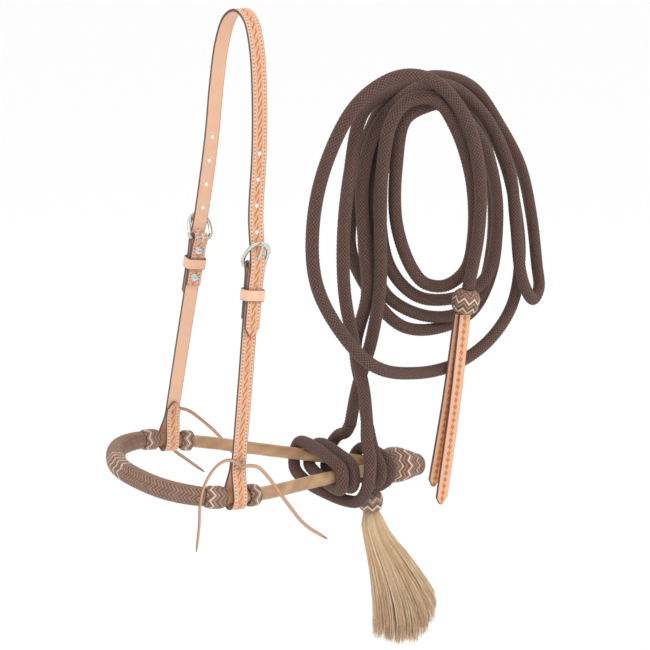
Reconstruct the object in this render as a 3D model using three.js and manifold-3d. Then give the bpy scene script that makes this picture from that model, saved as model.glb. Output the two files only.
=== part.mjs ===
// Bosal hackamore: a headstall of two cheek straps and a crown strap, a braided rawhide
// bosal that swings in the cheek loops, and a rope mecate wrapped on the bosal's shanks.
// Millimetres, +Z up, +X from the nose to the heel, -Y the near side.
// The origin is the underside of the crown strap, where the headstall hangs.

import * as THREE from 'three';
import { mergeVertices } from 'three/addons/utils/BufferGeometryUtils.js';
import Module from 'manifold-3d';

const wasm = await Module();
wasm.setup();

// ---------------------------------------------------------------- driving dimensions

// Leather
const strapWidth = 16;
const strapThickness = 3;
const plyGap = 0.4;
const holeSpacing = 25.4;
const holeRadius = 2.2;
const holeCount = 5;
const firstHoleRise = 8;

// Headstall, from the hanging point down
const barHeight = -237;
const barForward = -23;
const barHalfSpread = 63;
const cheekDrop = 232;
const cheekForward = 36;
const crownTailLength = 70;
const foldLayerLength = 53;
const turnUpLength = 58;
const tipLength = 9;

// Buckle, keeper and fasteners
const barRadius = 2;
const frameWireRadius = 2;
const frameSideGap = 1.2;
const frameRise = 22;
const archClearance = 2;
const tongueRadius = 1.4;
const tonguePlay = 0.9;
const eyeGap = 0.25;
const keeperWall = 1.8;
const keeperHeight = 12;
const keeperDrop = 28.5;
const keeperPlay = 0.5;
const keeperSidePlay = 0.7;
const keeperCorner = 0.6;
const screwDrops = [13.5, 43.5];
const screwHeadRadius = 4.7;
const screwHeadHeight = 1;
const screwShankRadius = 2;
const screwBoreRadius = 1.2;
const fitGap = 0.3;
const tongueSlotTop = 8.3;
const weldLength = 0.01;
const toolLength = 40;

// Bosal
const bosalPitch = 12.3;
const bosalHalfWidth = 84;
const noseReach = 91;
const coreRadius = 7;
const noseRadius = 10;
const stopRadius = 11.5;
const frontStopLength = 21;
const rearStopLength = 14;
const grooveLength = 26;
const loopClearance = 3;
const sleeveGap = 0.8;
const stopGap = 1.3;
const heelStart = 238;
const heelLength = 52;
const heelRadius = 22;
const heelEndRadius = 13;
const shankGap = 2;

// Mecate
const ropeRadius = 7;
const ropeStep = 35;
const frontWrapStart = 143.5;
const wrapPitch = 19;
const wrapLean = -3.5;
const heelWrapLean = 3;
const wrapGap = 2.3;
const tasselKnotRadius = 14.5;
const tasselKnotHeight = 24;
const popperKnotRadius = 15.5;
const popperKnotHeight = 27;
const popperFrontLength = 224;
const popperRearLength = 204;
const popperWidth = 17;
const popperThickness = 3;
const popperSpread = 4.8;
const popperGap = 1;
const laceWidth = 3.6;
const laceRise = 35;
const laceSlotWidth = 5.1;
const laceSlotLength = 6.6;
const laceKnotHalf = [5.5, 3, 6.5];
const touchGap = 0.35;

const rad = THREE.MathUtils.degToRad;
const V = (x, y, z) => new THREE.Vector3(x, y, z);

// ---------------------------------------------------------------- materials

const leather = (color) => new THREE.MeshStandardMaterial({ color, roughness: 0.62, metalness: 0 });
const cordage = (color) => new THREE.MeshStandardMaterial({ color, roughness: 0.85, metalness: 0 });
const nickel = () => new THREE.MeshStandardMaterial({ color: 0xc9c9c6, roughness: 0.22, metalness: 1 });
const rawhide = () => new THREE.MeshStandardMaterial({ color: 0xb08d5e, roughness: 0.5, metalness: 0 });
const braid = () => new THREE.MeshStandardMaterial({ color: 0x7a5a4a, roughness: 0.6, metalness: 0 });
const horsehair = () => new THREE.MeshStandardMaterial({ color: 0xd3b184, roughness: 0.7, metalness: 0 });
const saddleTan = 0xf0c49c;
const popperTan = 0xf0b48c;
const ropeBrown = 0x5a4038;

// ---------------------------------------------------------------- geometry helpers

function toSolid(geometry) {
  const plain = geometry.clone();
  for (const name of Object.keys(plain.attributes)) {
    if (name !== 'position') plain.deleteAttribute(name);
  }
  const merged = mergeVertices(plain, 1e-4);
  return new wasm.Manifold(new wasm.Mesh({
    numProp: 3,
    vertProperties: new Float32Array(merged.attributes.position.array),
    triVerts: new Uint32Array(merged.index.array),
  }));
}

function fromSolid(solid) {
  const mesh = solid.getMesh();
  const geometry = new THREE.BufferGeometry();
  geometry.setAttribute('position', new THREE.BufferAttribute(mesh.vertProperties, 3));
  geometry.setIndex(new THREE.BufferAttribute(mesh.triVerts, 1));
  return welded(geometry);
}

// Closes the hair-thin triangles that a cut leaves along its edge
function welded(geometry) {
  const merged = mergeVertices(geometry, weldLength);
  const kept = [];
  for (let i = 0; i < merged.index.count; i += 3) {
    const [a, b, c] = merged.index.array.slice(i, i + 3);
    if (a !== b && b !== c && c !== a) kept.push(a, b, c);
  }
  merged.setIndex(kept);
  merged.computeVertexNormals();
  return merged;
}

// Cuts the tools out of a piece, and leaves out any chip that falls off it
function cut(geometry, ...tools) {
  let solid = toSolid(geometry);
  for (const tool of tools) {
    solid = solid.subtract(toSolid(tool));
  }
  const [largest] = solid.decompose().sort((a, b) => b.volume() - a.volume());
  return fromSolid(largest);
}

function piece(name, geometry, material, parent) {
  const mesh = new THREE.Mesh(geometry, material);
  mesh.name = name;
  parent.add(mesh);
  return mesh;
}

// A flat strap bent along a path. Each station has a centre, a width direction and a
// width; the strap's face direction follows from the path's own direction.
function strapAlong(stations, thickness) {
  const geometry = new THREE.BoxGeometry(1, 1, stations.length - 1, 1, 1, stations.length - 1);
  const place = geometry.attributes.position;
  const last = stations.length - 1;
  for (let i = 0; i < place.count; i += 1) {
    const row = Math.round(place.getZ(i) + last / 2);
    const station = stations[row];
    const before = stations[Math.max(row - 1, 0)].centre;
    const after = stations[Math.min(row + 1, last)].centre;
    const along = after.clone().sub(before).normalize();
    const across = station.across.clone().addScaledVector(along, -station.across.dot(along)).normalize();
    const face = along.clone().cross(across);
    const point = station.centre.clone()
      .addScaledVector(across, place.getX(i) * station.width)
      .addScaledVector(face, place.getY(i) * thickness);
    place.setXYZ(i, point.x, point.y, point.z);
  }
  return geometry;
}

// Stations of one width along a smooth curve, three to each span, closed by a pointed tip
function stationsOn(points, width, across, tip = 0) {
  const curve = new THREE.CatmullRomCurve3(points, false, 'centripetal');
  const count = (points.length - 1) * 3;
  const stations = curve.getPoints(count).map((centre) => ({ centre, across, width }));
  if (tip > 0) {
    const end = stations.pop();
    const before = stations[stations.length - 1].centre;
    const direction = end.centre.clone().sub(before).normalize();
    stations.push({ centre: end.centre.clone().addScaledVector(direction, -tip), across, width });
    stations.push({ centre: end.centre, across, width: width * 0.25 });
  }
  return stations;
}

// A round tube along an open curve, with flat ends
function tubeOn(curve, radius, steps, sides) {
  const section = new THREE.Shape();
  for (let i = 0; i < sides; i += 1) {
    const turn = (i / sides) * Math.PI * 2;
    const corner = [radius * Math.cos(turn), radius * Math.sin(turn)];
    if (i === 0) section.moveTo(...corner);
    else section.lineTo(...corner);
  }
  section.closePath();
  return new THREE.ExtrudeGeometry(section, { steps, bevelEnabled: false, extrudePath: curve });
}

function ropeOn(points, radius, step, sides) {
  const curve = new THREE.CatmullRomCurve3(points, false, 'centripetal');
  return tubeOn(curve, radius, Math.ceil(curve.getLength() / step), sides);
}

// A round bar bent into a closed loop: a torus carried onto the loop's own path
function loopBar(pathAt, radius, sides, steps) {
  const geometry = new THREE.TorusGeometry(10, 1, sides, steps);
  const place = geometry.attributes.position;
  const flat = V(0, 0, 0);
  for (let i = 0; i < place.count; i += 1) {
    const turn = Math.atan2(place.getY(i), place.getX(i));
    const u = (turn / (Math.PI * 2) + 1) % 1;
    const centre = pathAt(u);
    const along = pathAt((u + 0.002) % 1).sub(pathAt((u + 0.998) % 1)).normalize();
    flat.set(0, 0, 1);
    const outward = along.clone().cross(flat).normalize();
    const out = Math.hypot(place.getX(i), place.getY(i)) - 10;
    const point = centre.addScaledVector(outward, out * radius);
    point.addScaledVector(flat, place.getZ(i) * radius);
    place.setXYZ(i, point.x, point.y, point.z);
  }
  return geometry;
}

// A turned piece: the profile runs along the axis as [distance along, radius]
function turned(profile, sides) {
  return new THREE.LatheGeometry(profile.map(([along, radius]) => new THREE.Vector2(radius, along)), sides);
}

// ---------------------------------------------------------------- headstall

const hackamore = new THREE.Group();
const layer = strapThickness / 2 + plyGap / 2;
const tailLift = layer + strapThickness + screwHeadHeight + 2 * touchGap;
const foldRadius = barRadius + fitGap + strapThickness / 2;
const loopRadius = coreRadius + loopClearance + strapThickness / 2;
const cheekSplay = bosalHalfWidth - barHalfSpread;
const cheekLength = Math.hypot(cheekDrop, cheekForward, cheekSplay);
const cheekLean = Math.atan2(cheekForward, cheekDrop);
const tongueEye = barRadius + tongueRadius + eyeGap;

// The frame of one cheek: origin on the buckle bar, -Z down the strap to the bosal,
// X across the strap and Y across the horse. The near cheek is on the -Y side.
function cheekFrame(side) {
  const group = new THREE.Group();
  group.position.set(barForward, side * barHalfSpread, barHeight);
  const splay = Math.asin((side * cheekSplay) / cheekLength);
  group.rotation.set(splay, cheekLean, 0, 'YXZ');
  group.updateMatrixWorld(true);
  return group;
}

function cheekStrap(side) {
  const out = (y) => side * y;
  const points = [];
  points.push(V(0, out(-layer), -foldLayerLength));
  points.push(V(0, out(-layer), -foldLayerLength / 2));
  points.push(V(0, out(-layer - 0.1), -foldRadius * 2.4));
  for (const angle of [200, 165, 130, 90, 50, 15, -20]) {
    const turn = rad(angle);
    points.push(V(0, out(foldRadius * Math.cos(turn)), foldRadius * Math.sin(turn)));
  }
  points.push(V(0, out(layer + 0.1), -foldRadius * 2.4));
  points.push(V(0, out(layer), -cheekLength / 2));
  points.push(V(0, out(layer), -cheekLength + laceRise + 12));
  points.push(V(0, out(layer + 0.5), -cheekLength + loopRadius * 2.5));
  for (const angle of [25, -10, -50, -90, -130, -170, -205]) {
    const turn = rad(angle);
    points.push(V(0, out(loopRadius * Math.cos(turn)), -cheekLength + loopRadius * Math.sin(turn)));
  }
  points.push(V(0, out(-layer - 0.5), -cheekLength + loopRadius * 2.5));
  points.push(V(0, out(-layer), -cheekLength + laceRise + 4));
  points.push(V(0, out(-layer), -cheekLength - loopRadius + turnUpLength));
  const strap = strapAlong(stationsOn(points, strapWidth, V(side, 0, 0), tipLength), strapThickness);
  const tools = [];
  for (const drop of screwDrops) {
    const bore = screwShankRadius + fitGap;
    const drill = new THREE.CylinderGeometry(bore, bore, toolLength, 12);
    drill.translate(0, 0, -drop);
    tools.push(drill);
  }
  const slotWidth = 2 * (tongueRadius + tonguePlay) + fitGap;
  const slotFoot = tongueEye + tongueRadius + tonguePlay;
  const slotLength = tongueSlotTop + slotFoot;
  const tongueSlot = new THREE.BoxGeometry(slotWidth, 2 * (foldRadius + strapThickness), slotLength);
  tongueSlot.translate(0, 0, (tongueSlotTop - slotFoot) / 2);
  tools.push(tongueSlot);
  const laceSlot = new THREE.BoxGeometry(laceSlotWidth, toolLength, laceSlotLength);
  laceSlot.translate(0, 0, -cheekLength + laceRise);
  tools.push(laceSlot);
  return cut(strap, ...tools);
}

// The crown strap runs from one tail to the other over the horse's poll. Its tails lie on
// the cheeks, so their points are taken through each cheek's own frame.
function crownPoints() {
  const arch = [
    [0.78, 0.937, 0.802], [0.435, 0.841, 0.536], [0.26, 0.754, 0.316], [0.13, 0.603, 0.135],
    [0.043, 0.365, 0.03],
  ].map(([forward, spread, drop]) => V(barForward * forward, barHalfSpread * spread, barHeight * drop));
  const top = V(0, 0, strapThickness / 2);
  const tail = [
    V(0, tailLift, -crownTailLength),
    V(0, tailLift, -crownTailLength * 0.6),
    V(0, tailLift, -crownTailLength * 0.25),
    V(0, foldRadius + strapThickness + 3 * touchGap, -1),
    V(0, layer + strapThickness + touchGap, 14),
  ];
  const half = (side) => {
    const frame = cheekFrame(side);
    const low = tail.map((p) => V(p.x, side * p.y, p.z).applyMatrix4(frame.matrixWorld));
    const high = arch.map((p) => V(p.x, side * p.y, p.z));
    return [...low, ...high];
  };
  return [...half(-1), top, ...half(1).reverse()];
}

function crownStrap() {
  const curve = new THREE.CatmullRomCurve3(crownPoints(), false, 'centripetal');
  const count = Math.ceil(curve.getLength() / 9 / 2) * 2 + 1;
  const low = V(Math.cos(cheekLean), 0, -Math.sin(cheekLean));
  const stations = curve.getSpacedPoints(count).map((centre) => {
    const depth = Math.min(Math.max(centre.z / barHeight, 0), 1);
    return { centre, across: V(1, 0, 0).lerp(low, depth), width: strapWidth };
  });
  stations[0].width = strapWidth * 0.25;
  stations[count].width = strapWidth * 0.25;
  const strap = strapAlong(stations, strapThickness);
  const tools = [];
  for (const side of [-1, 1]) {
    const frame = cheekFrame(side);
    const throughHole = ropeOn(tonguePoints(side), tongueRadius + tonguePlay, 3, 8);
    tools.push(throughHole.applyMatrix4(frame.matrixWorld));
    for (let i = 1; i < holeCount; i += 1) {
      const rise = firstHoleRise + i * holeSpacing;
      const drill = new THREE.CylinderGeometry(holeRadius, holeRadius, 24, 10);
      const nearest = nearestOn(stations, V(0, 0, rise).applyMatrix4(frame.matrixWorld).z, side);
      drill.rotateX(rad(side * 5));
      drill.translate(nearest.x, nearest.y, nearest.z);
      tools.push(drill);
    }
  }
  return cut(strap, ...tools);
}

// The strap's centre at a given height on one side
function nearestOn(stations, height, side) {
  let best = stations[0].centre;
  for (let i = 0; i + 1 < stations.length; i += 1) {
    const a = stations[i].centre;
    const b = stations[i + 1].centre;
    const inside = (a.z - height) * (b.z - height) <= 0 && Math.sign(a.y) === side;
    if (inside) best = a.clone().lerp(b, (height - a.z) / (b.z - a.z || 1));
  }
  return best;
}

// The buckle's frame: a straight bar and a horseshoe arch that stands over the strap
const armHalf = strapWidth / 2 + frameSideGap + frameWireRadius;
const frameBend = foldRadius + strapThickness / 2;
const archHeight = 2 * layer + strapThickness + frameWireRadius + archClearance;
const frameSlope = archHeight / (frameRise - frameBend);
const archTop = frameRise * 1.02;
const tongueRest = frameSlope * (archTop - frameBend) + frameWireRadius * Math.hypot(1, frameSlope)
  + tongueRadius + touchGap;

function buckleFrame(side) {
  const corners = [
    [-armHalf, 0.3], [-armHalf * 0.85, 0], [-armHalf * 0.4, 0],
    [armHalf * 0.4, 0], [armHalf * 0.85, 0], [armHalf, 0.3],
    [armHalf * 1.12, frameRise * 0.35], [armHalf * 0.98, frameRise * 0.72],
    [armHalf * 0.55, frameRise * 0.96], [0, archTop],
    [-armHalf * 0.55, frameRise * 0.96], [-armHalf * 0.98, frameRise * 0.72],
    [-armHalf * 1.12, frameRise * 0.35],
  ];
  const path = new THREE.CatmullRomCurve3(corners.map(([x, y]) => V(x, y, 0)), true, 'centripetal');
  const geometry = loopBar((u) => path.getPointAt(u), frameWireRadius, 8, 44);
  geometry.rotateX(Math.PI / 2);
  const place = geometry.attributes.position;
  for (let i = 0; i < place.count; i += 1) {
    const z = place.getZ(i);
    place.setY(i, place.getY(i) + side * frameSlope * Math.max(z - frameBend, 0));
  }
  return geometry;
}

// The tongue hooks round the bar, goes through the crown strap and lies over the arch
function tonguePoints(side) {
  const points = [];
  for (const angle of [-160, -115, -70, -25, 20]) {
    const turn = rad(angle);
    points.push(V(0, side * tongueEye * Math.cos(turn), tongueEye * Math.sin(turn)));
  }
  points.push(V(0, side * (tongueRest * 0.62), frameRise * 0.4));
  points.push(V(0, side * tongueRest, frameRise * 0.82));
  points.push(V(0, side * tongueRest, frameRise + 3));
  return points;
}

function buckleTongue(side) {
  return ropeOn(tonguePoints(side), tongueRadius, 3, 8);
}

function keeper(side) {
  const low = -layer - strapThickness / 2 - keeperPlay;
  const high = tailLift + strapThickness / 2 + keeperPlay;
  const half = strapWidth / 2 + keeperSidePlay;
  const outline = (grow, path) => {
    const x = half + grow;
    const y0 = low - grow;
    const y1 = high + grow;
    const round = keeperCorner + grow;
    path.moveTo(-x + round, y0);
    path.lineTo(x - round, y0);
    path.quadraticCurveTo(x, y0, x, y0 + round);
    path.lineTo(x, y1 - round);
    path.quadraticCurveTo(x, y1, x - round, y1);
    path.lineTo(-x + round, y1);
    path.quadraticCurveTo(-x, y1, -x, y1 - round);
    path.lineTo(-x, y0 + round);
    path.quadraticCurveTo(-x, y0, -x + round, y0);
    return path;
  };
  const shape = outline(keeperWall, new THREE.Shape());
  shape.holes.push(outline(0, new THREE.Path()));
  const extent = { depth: keeperHeight, bevelEnabled: false, curveSegments: 3 };
  const geometry = new THREE.ExtrudeGeometry(shape, extent);
  geometry.translate(0, 0, -keeperDrop - keeperHeight / 2);
  if (side < 0) geometry.rotateZ(Math.PI);
  return geometry;
}

// A post screw in two parts: a headed hollow post from outside and a headed stud from inside
const clampHalf = layer + strapThickness / 2 + touchGap;

function screwPost(side, drop) {
  const profile = [
    [clampHalf + screwHeadHeight, 0], [clampHalf + screwHeadHeight, screwHeadRadius * 0.8],
    [clampHalf + screwHeadHeight * 0.4, screwHeadRadius], [clampHalf, screwHeadRadius],
    [clampHalf, screwShankRadius], [-clampHalf + touchGap, screwShankRadius],
    [-clampHalf + touchGap, screwBoreRadius], [clampHalf - 1.5, screwBoreRadius], [clampHalf - 1.5, 0],
  ];
  const geometry = turned(profile.reverse(), 16);
  if (side < 0) geometry.rotateX(Math.PI);
  geometry.translate(0, 0, -drop);
  return geometry;
}

function screwCap(side, drop) {
  const profile = [
    [clampHalf - 3, 0], [clampHalf - 3, screwBoreRadius - fitGap], [-clampHalf, screwBoreRadius - fitGap],
    [-clampHalf, screwHeadRadius], [-clampHalf - screwHeadHeight * 0.5, screwHeadRadius],
    [-clampHalf - screwHeadHeight, screwHeadRadius * 0.8], [-clampHalf - screwHeadHeight, 0],
  ];
  const geometry = turned(profile.reverse(), 16);
  if (side < 0) geometry.rotateX(Math.PI);
  geometry.translate(0, 0, -drop);
  return geometry;
}

piece('crown_strap', crownStrap(), leather(saddleTan), hackamore);

for (const [side, hand] of [[-1, 'near'], [1, 'far']]) {
  const cheek = cheekFrame(side);
  hackamore.add(cheek);
  piece(`${hand}_cheek_strap`, cheekStrap(side), leather(saddleTan), cheek);
  piece(`${hand}_buckle_frame`, buckleFrame(side), nickel(), cheek);
  piece(`${hand}_buckle_tongue`, buckleTongue(side), nickel(), cheek);
  piece(`${hand}_keeper`, keeper(side), leather(saddleTan), cheek);
  screwDrops.forEach((drop, i) => {
    const level = i === 0 ? 'upper' : 'lower';
    piece(`${hand}_${level}_screw_post`, screwPost(side, drop), nickel(), cheek);
    piece(`${hand}_${level}_screw_cap`, screwCap(side, drop), nickel(), cheek);
  });
  const knot = new THREE.SphereGeometry(1, 12, 8);
  knot.scale(...laceKnotHalf);
  const knotOut = layer + strapThickness / 2 + laceKnotHalf[1] + 2 * touchGap;
  knot.translate(0, side * knotOut, -cheekLength + laceRise);
  piece(`${hand}_lace_knot`, knot, leather(saddleTan), cheek);
}

// ---------------------------------------------------------------- bosal

// The bosal's frame: origin on the swing axis between the two cheek loops, X along its
// plane to the heel, Z out of the plane
const bosal = new THREE.Group();
bosal.position.set(barForward - cheekForward, 0, barHeight - cheekDrop);
bosal.rotation.y = rad(bosalPitch);
hackamore.add(bosal);

const heelEnd = heelStart + heelLength;
const shankHalf = coreRadius + shankGap / 2;

// The core bends round the nose and its shanks meet side by side in the heel knot
const halfOutline = [
  [0, bosalHalfWidth], [-36, bosalHalfWidth - 3], [-66, bosalHalfWidth - 22], [-84, bosalHalfWidth - 53],
];
const taper = (share) => shankHalf + share * (bosalHalfWidth - shankHalf);
const shankOutline = [
  [44, taper(0.868)], [112, taper(0.526)], [180, taper(0.21)],
  [heelStart - 4, shankHalf + 0.6], [heelStart + 8, shankHalf], [heelEnd - 14, shankHalf],
];

function coreCurve() {
  const near = [...shankOutline].reverse().concat(halfOutline).map(([u, w]) => V(u, -w, 0));
  const far = [...halfOutline].reverse().concat(shankOutline).map(([u, w]) => V(u, w, 0));
  return new THREE.CatmullRomCurve3([...near, V(-noseReach, 0, 0), ...far], false, 'centripetal');
}

const core = coreCurve();
const coreSteps = 84;
const corePoints = core.getSpacedPoints(coreSteps);
const coreLength = core.getLength();

// Where along the core a given distance from the swing axis is reached on one side
function coreAt(u, side) {
  const fine = 1200;
  let best = 0;
  let gap = Infinity;
  for (let i = 0; i <= fine; i += 1) {
    const point = core.getPointAt(i / fine);
    const miss = Math.abs(point.x - u);
    if (Math.sign(point.y) === side && miss < gap) {
      best = i / fine;
      gap = miss;
    }
  }
  return best;
}

// A sleeve round the core between two places on it
function sleeveOn(from, to, outer, inner, steps, sides) {
  const points = [];
  for (let i = 0; i <= steps; i += 1) {
    points.push(core.getPointAt(from + ((to - from) * i) / steps));
  }
  const path = new THREE.CatmullRomCurve3(points, false, 'centripetal');
  const ring = new THREE.Shape();
  ring.absarc(0, 0, outer, 0, Math.PI * 2, false);
  const hole = new THREE.Path();
  hole.absarc(0, 0, inner, 0, Math.PI * 2, true);
  ring.holes.push(hole);
  return new THREE.ExtrudeGeometry(ring, {
    steps, bevelEnabled: false, extrudePath: path, curveSegments: sides / 2,
  });
}

// A braided stop: a short barrel on the core
function stopAt(u, side, length) {
  const bore = coreRadius + stopGap;
  const half = length / 2;
  const geometry = turned([
    [-half, bore], [-half, stopRadius - 1.6], [-half + 2, stopRadius - 0.4], [0, stopRadius],
    [half - 2, stopRadius - 0.4], [half, stopRadius - 1.6], [half, bore], [-half, bore],
  ], 20);
  return bentOnCore(geometry, coreAt(u, side));
}

// A turned piece carried onto the core, so that it bends as the core does
function bentOnCore(geometry, middle) {
  const place = geometry.attributes.position;
  const up = V(0, 0, 1);
  for (let i = 0; i < place.count; i += 1) {
    const at = middle + place.getY(i) / coreLength;
    const aside = core.getTangentAt(at).cross(up).normalize();
    const point = core.getPointAt(at);
    point.addScaledVector(aside, place.getX(i)).addScaledVector(up, place.getZ(i));
    place.setXYZ(i, point.x, point.y, point.z);
  }
  return geometry;
}

function heelKnot() {
  const profile = [
    [0, 0], [0, heelRadius * 0.66], [3, heelRadius * 0.86], [10, heelRadius], [20, heelRadius * 0.97],
    [30, heelRadius * 0.86], [41, heelEndRadius + 1], [heelLength - 3, heelEndRadius],
    [heelLength, heelEndRadius - 4], [heelLength, 0],
  ];
  const barrel = turned(profile, 24);
  barrel.rotateZ(-Math.PI / 2);
  barrel.scale(1, 1, 0.93);
  barrel.translate(heelStart, 0, 0);
  const pocket = (side) => {
    const mouth = coreAt(heelStart - 8, side);
    const end = side < 0 ? 0 : 1;
    const points = [core.getPointAt(end).add(V(1, 0, 0))];
    for (let i = 1; i <= 8; i += 1) {
      points.push(core.getPointAt(end + ((mouth - end) * i) / 8));
    }
    return ropeOn(points, coreRadius + 2 * fitGap, 6, 12);
  };
  return cut(barrel, pocket(-1), pocket(1));
}

piece('bosal_core', tubeOn(core, coreRadius, coreSteps, 12), rawhide(), bosal);
const frontStopAt = -(grooveLength + frontStopLength) / 2;
const rearStopAt = (grooveLength + rearStopLength) / 2;
const stopReach = (frontStopLength / 2 + 3 * touchGap) / coreLength;
const noseFrom = coreAt(frontStopAt, -1) + stopReach;
const noseTo = coreAt(frontStopAt, 1) - stopReach;
piece('nose_button', sleeveOn(noseFrom, noseTo, noseRadius, coreRadius + sleeveGap, 26, 14), braid(), bosal);
for (const [side, hand] of [[-1, 'near'], [1, 'far']]) {
  piece(`${hand}_front_stop`, stopAt(frontStopAt, side, frontStopLength), braid(), bosal);
  piece(`${hand}_rear_stop`, stopAt(rearStopAt, side, rearStopLength), braid(), bosal);
}
piece('heel_knot', heelKnot(), braid(), bosal);

// ---------------------------------------------------------------- mecate

// Turns round both shanks. A turn count of 0 is on top, 0.25 on the near side, 0.5
// below and 0.75 on the far side; each turn leans towards the heel on the near side.
const wrapRise = coreRadius + ropeRadius + wrapGap;

function turnsRound(from, to, uFrom, uTo, lean) {
  const perTurn = 12;
  const count = Math.round(Math.abs(to - from) * perTurn);
  const points = [];
  for (let i = 0; i <= count; i += 1) {
    const turn = (from + ((to - from) * i) / count) * Math.PI * 2;
    const aside = Math.sin(turn);
    const u = uFrom + ((uTo - uFrom) * i) / count + lean * aside;
    const spread = THREE.MathUtils.clamp(aside * 1.9, -1, 1);
    const w = -(shankHalfAt(u) * spread + wrapRise * aside);
    points.push(V(u, w, wrapRise * Math.cos(turn)));
  }
  return points;
}

// From the rein's near end: down over the turns, under both shanks to the far side, two
// turns towards the heel, and up into the lead
function frontWraps() {
  const lap = [
    V(176, -37, 61), V(176, -43, 45), V(178, -52, 28), V(179, -56, 10), V(181, -53, -10),
    V(182, -41, -27), V(177, -22, -33.5), V(166, 0, -33.5), V(154, 22, -30), V(146, 44, -20),
  ];
  const turns = turnsRound(0.78, 2.75, frontWrapStart, frontWrapStart + 2 * wrapPitch, wrapLean);
  const rise = [V(184, 35.5, 13), V(184.5, 26, 27), V(184.5, 13, 35), V(184, 3, 46)];
  return [...lap, ...turns, ...rise];
}

// From the tassel knot: up the near side beside the heel knot, once round, and up the near
// side again into the rein's far end
const heelWrapStart = V(215.5, -11.5, -22);

function heelWraps() {
  const start = [heelWrapStart, V(220, -18.5, -19)];
  const turns = turnsRound(0.36, -0.86, heelStart - 11, heelStart - 29, heelWrapLean);
  const rise = [V(209, -15, 21), V(207, -8, 31), V(205, -3, 40)];
  return [...start, ...turns, ...rise];
}

// Half the spread of the two shanks at a distance from the swing axis
function shankHalfAt(u) {
  return Math.abs(core.getPointAt(coreAt(u, 1)).y);
}

piece('mecate_front_wraps', ropeOn(frontWraps(), ropeRadius, 9, 10), cordage(ropeBrown), bosal);
piece('mecate_heel_wraps', ropeOn(heelWraps(), ropeRadius, 9, 10), cordage(ropeBrown), bosal);

// The lead: from the popper knot up and over the hanging point, five turns of the coil,
// then down to the wraps
const leadRoute = [
  [250, -46, -307], [260, -48, -244], [258, -49, -181], [237, -49, -117], [199, -44, -76],
  [155, -44, -68], [107, -44, -91], [72, -44, -144], [54, -46, -205], [55, -49, -269],
  [82, -53, -326], [121, -58, -370], [186, -43, -395], [248, -31, -399], [308, -15, -384],
  [358, 9, -353], [383, 32, -303], [377, 39, -241], [356, 41, -181], [321, 43, -128],
  [266, 46, -97], [203, 37, -98], [156, 14, -136], [130, -2, -193], [128, 4, -256], [156, 1, -314],
  [201, 9, -358], [261, 21, -373], [317, 32, -363], [346, 38, -323], [353, 40, -260],
  [341, 38, -198], [311, 35, -142], [260, 39, -108], [212, 21, -114], [177, 10, -131],
  [155, 10, -189], [156, 6, -253], [174, 8, -312], [227, 12, -349], [283, 19, -359],
  [319, 24, -342], [334, 25, -294], [334, 25, -230], [315, 21, -169], [277, 15, -130],
  [221, 5, -104], [188, -4, -119], [162, -9, -161], [156, -11, -224], [176, -3, -284],
  [220, 3, -325], [276, 3, -332], [313, 5, -315], [327, 7, -269], [321, 6, -206], [294, 3, -149],
  [246, -5, -110], [206, -21, -105], [179, -21, -117], [168, -23, -161], [170, -21, -225],
  [192, -19, -280], [214, -17, -303], [239, -21, -307], [258, -29, -290], [265, -32, -252],
  [261, -31, -190], [236, -33, -129], [206, -36, -96], [175, -32, -96], [153, -35, -115],
  [142, -36, -163], [141, -35, -227], [145, -30, -290], [139, -24, -352], [130, -9, -414],
  [129, 3, -459],
];

// The rein: a loop whose two ends both come down to the wraps
const reinRoute = [
  [126, -37, -444], [125, -32, -410], [113, -30, -354], [100, -31, -292], [99, -30, -228],
  [110, -24, -166], [135, -8, -108], [194, 14, -89], [254, 31, -83], [313, 44, -101],
  [357, 49, -148], [390, 47, -201], [403, 38, -262], [400, 20, -316], [396, 9, -341],
  [380, -1, -351], [364, -7, -336], [352, -9, -310], [347, -2, -251], [340, 6, -189],
  [312, 15, -132], [262, 14, -93], [206, 4, -91], [151, -9, -126], [130, -16, -179],
  [131, -19, -243], [138, -15, -305], [131, -3, -367], [146, 3, -432], [150, 0, -467],
];

const routeCurve = (route) => route.map(([x, y, z]) => V(x, y, z));
piece('mecate_lead', ropeOn(routeCurve(leadRoute), ropeRadius, ropeStep, 8), cordage(ropeBrown), hackamore);
piece('mecate_rein', ropeOn(routeCurve(reinRoute), ropeRadius, ropeStep, 8), cordage(ropeBrown), hackamore);

// ---------------------------------------------------------------- knots, tassel, popper

// The tassel knot hangs upright under the first turn beside the heel knot
bosal.updateMatrixWorld(true);
const tasselKnotDrop = tasselKnotHeight / 2 + ropeRadius - 0.7;
const tasselKnotAt = heelWrapStart.clone().add(V(6.3, 2, -tasselKnotDrop)).applyMatrix4(bosal.matrixWorld);

function ballKnot(radius, height) {
  const half = height / 2;
  return turned([
    [-half, 0], [-half, radius * 0.62], [-half * 0.7, radius * 0.9], [0, radius],
    [half * 0.7, radius * 0.9], [half, radius * 0.62], [half, 0],
  ], 20);
}

const tasselKnot = ballKnot(tasselKnotRadius, tasselKnotHeight);
tasselKnot.rotateX(Math.PI / 2);
tasselKnot.translate(...tasselKnotAt.toArray());
piece('tassel_knot', tasselKnot, braid(), hackamore);

// The horsehair tassel falls from a coned head, which lets it swing under the knot, and
// spreads towards its ends. Each row is the fall, the drift to the heel and the spread.
const tasselRows = [
  [0, 0, 0.9], [4.8, 0.3, 8.4], [8, 0.8, 12.5], [28, 6, 16], [62, 22, 24.5],
  [98, 38, 34], [131, 50, 42], [149, 52, 40], [166, 50, 34], [178, 47, 24],
];

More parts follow.
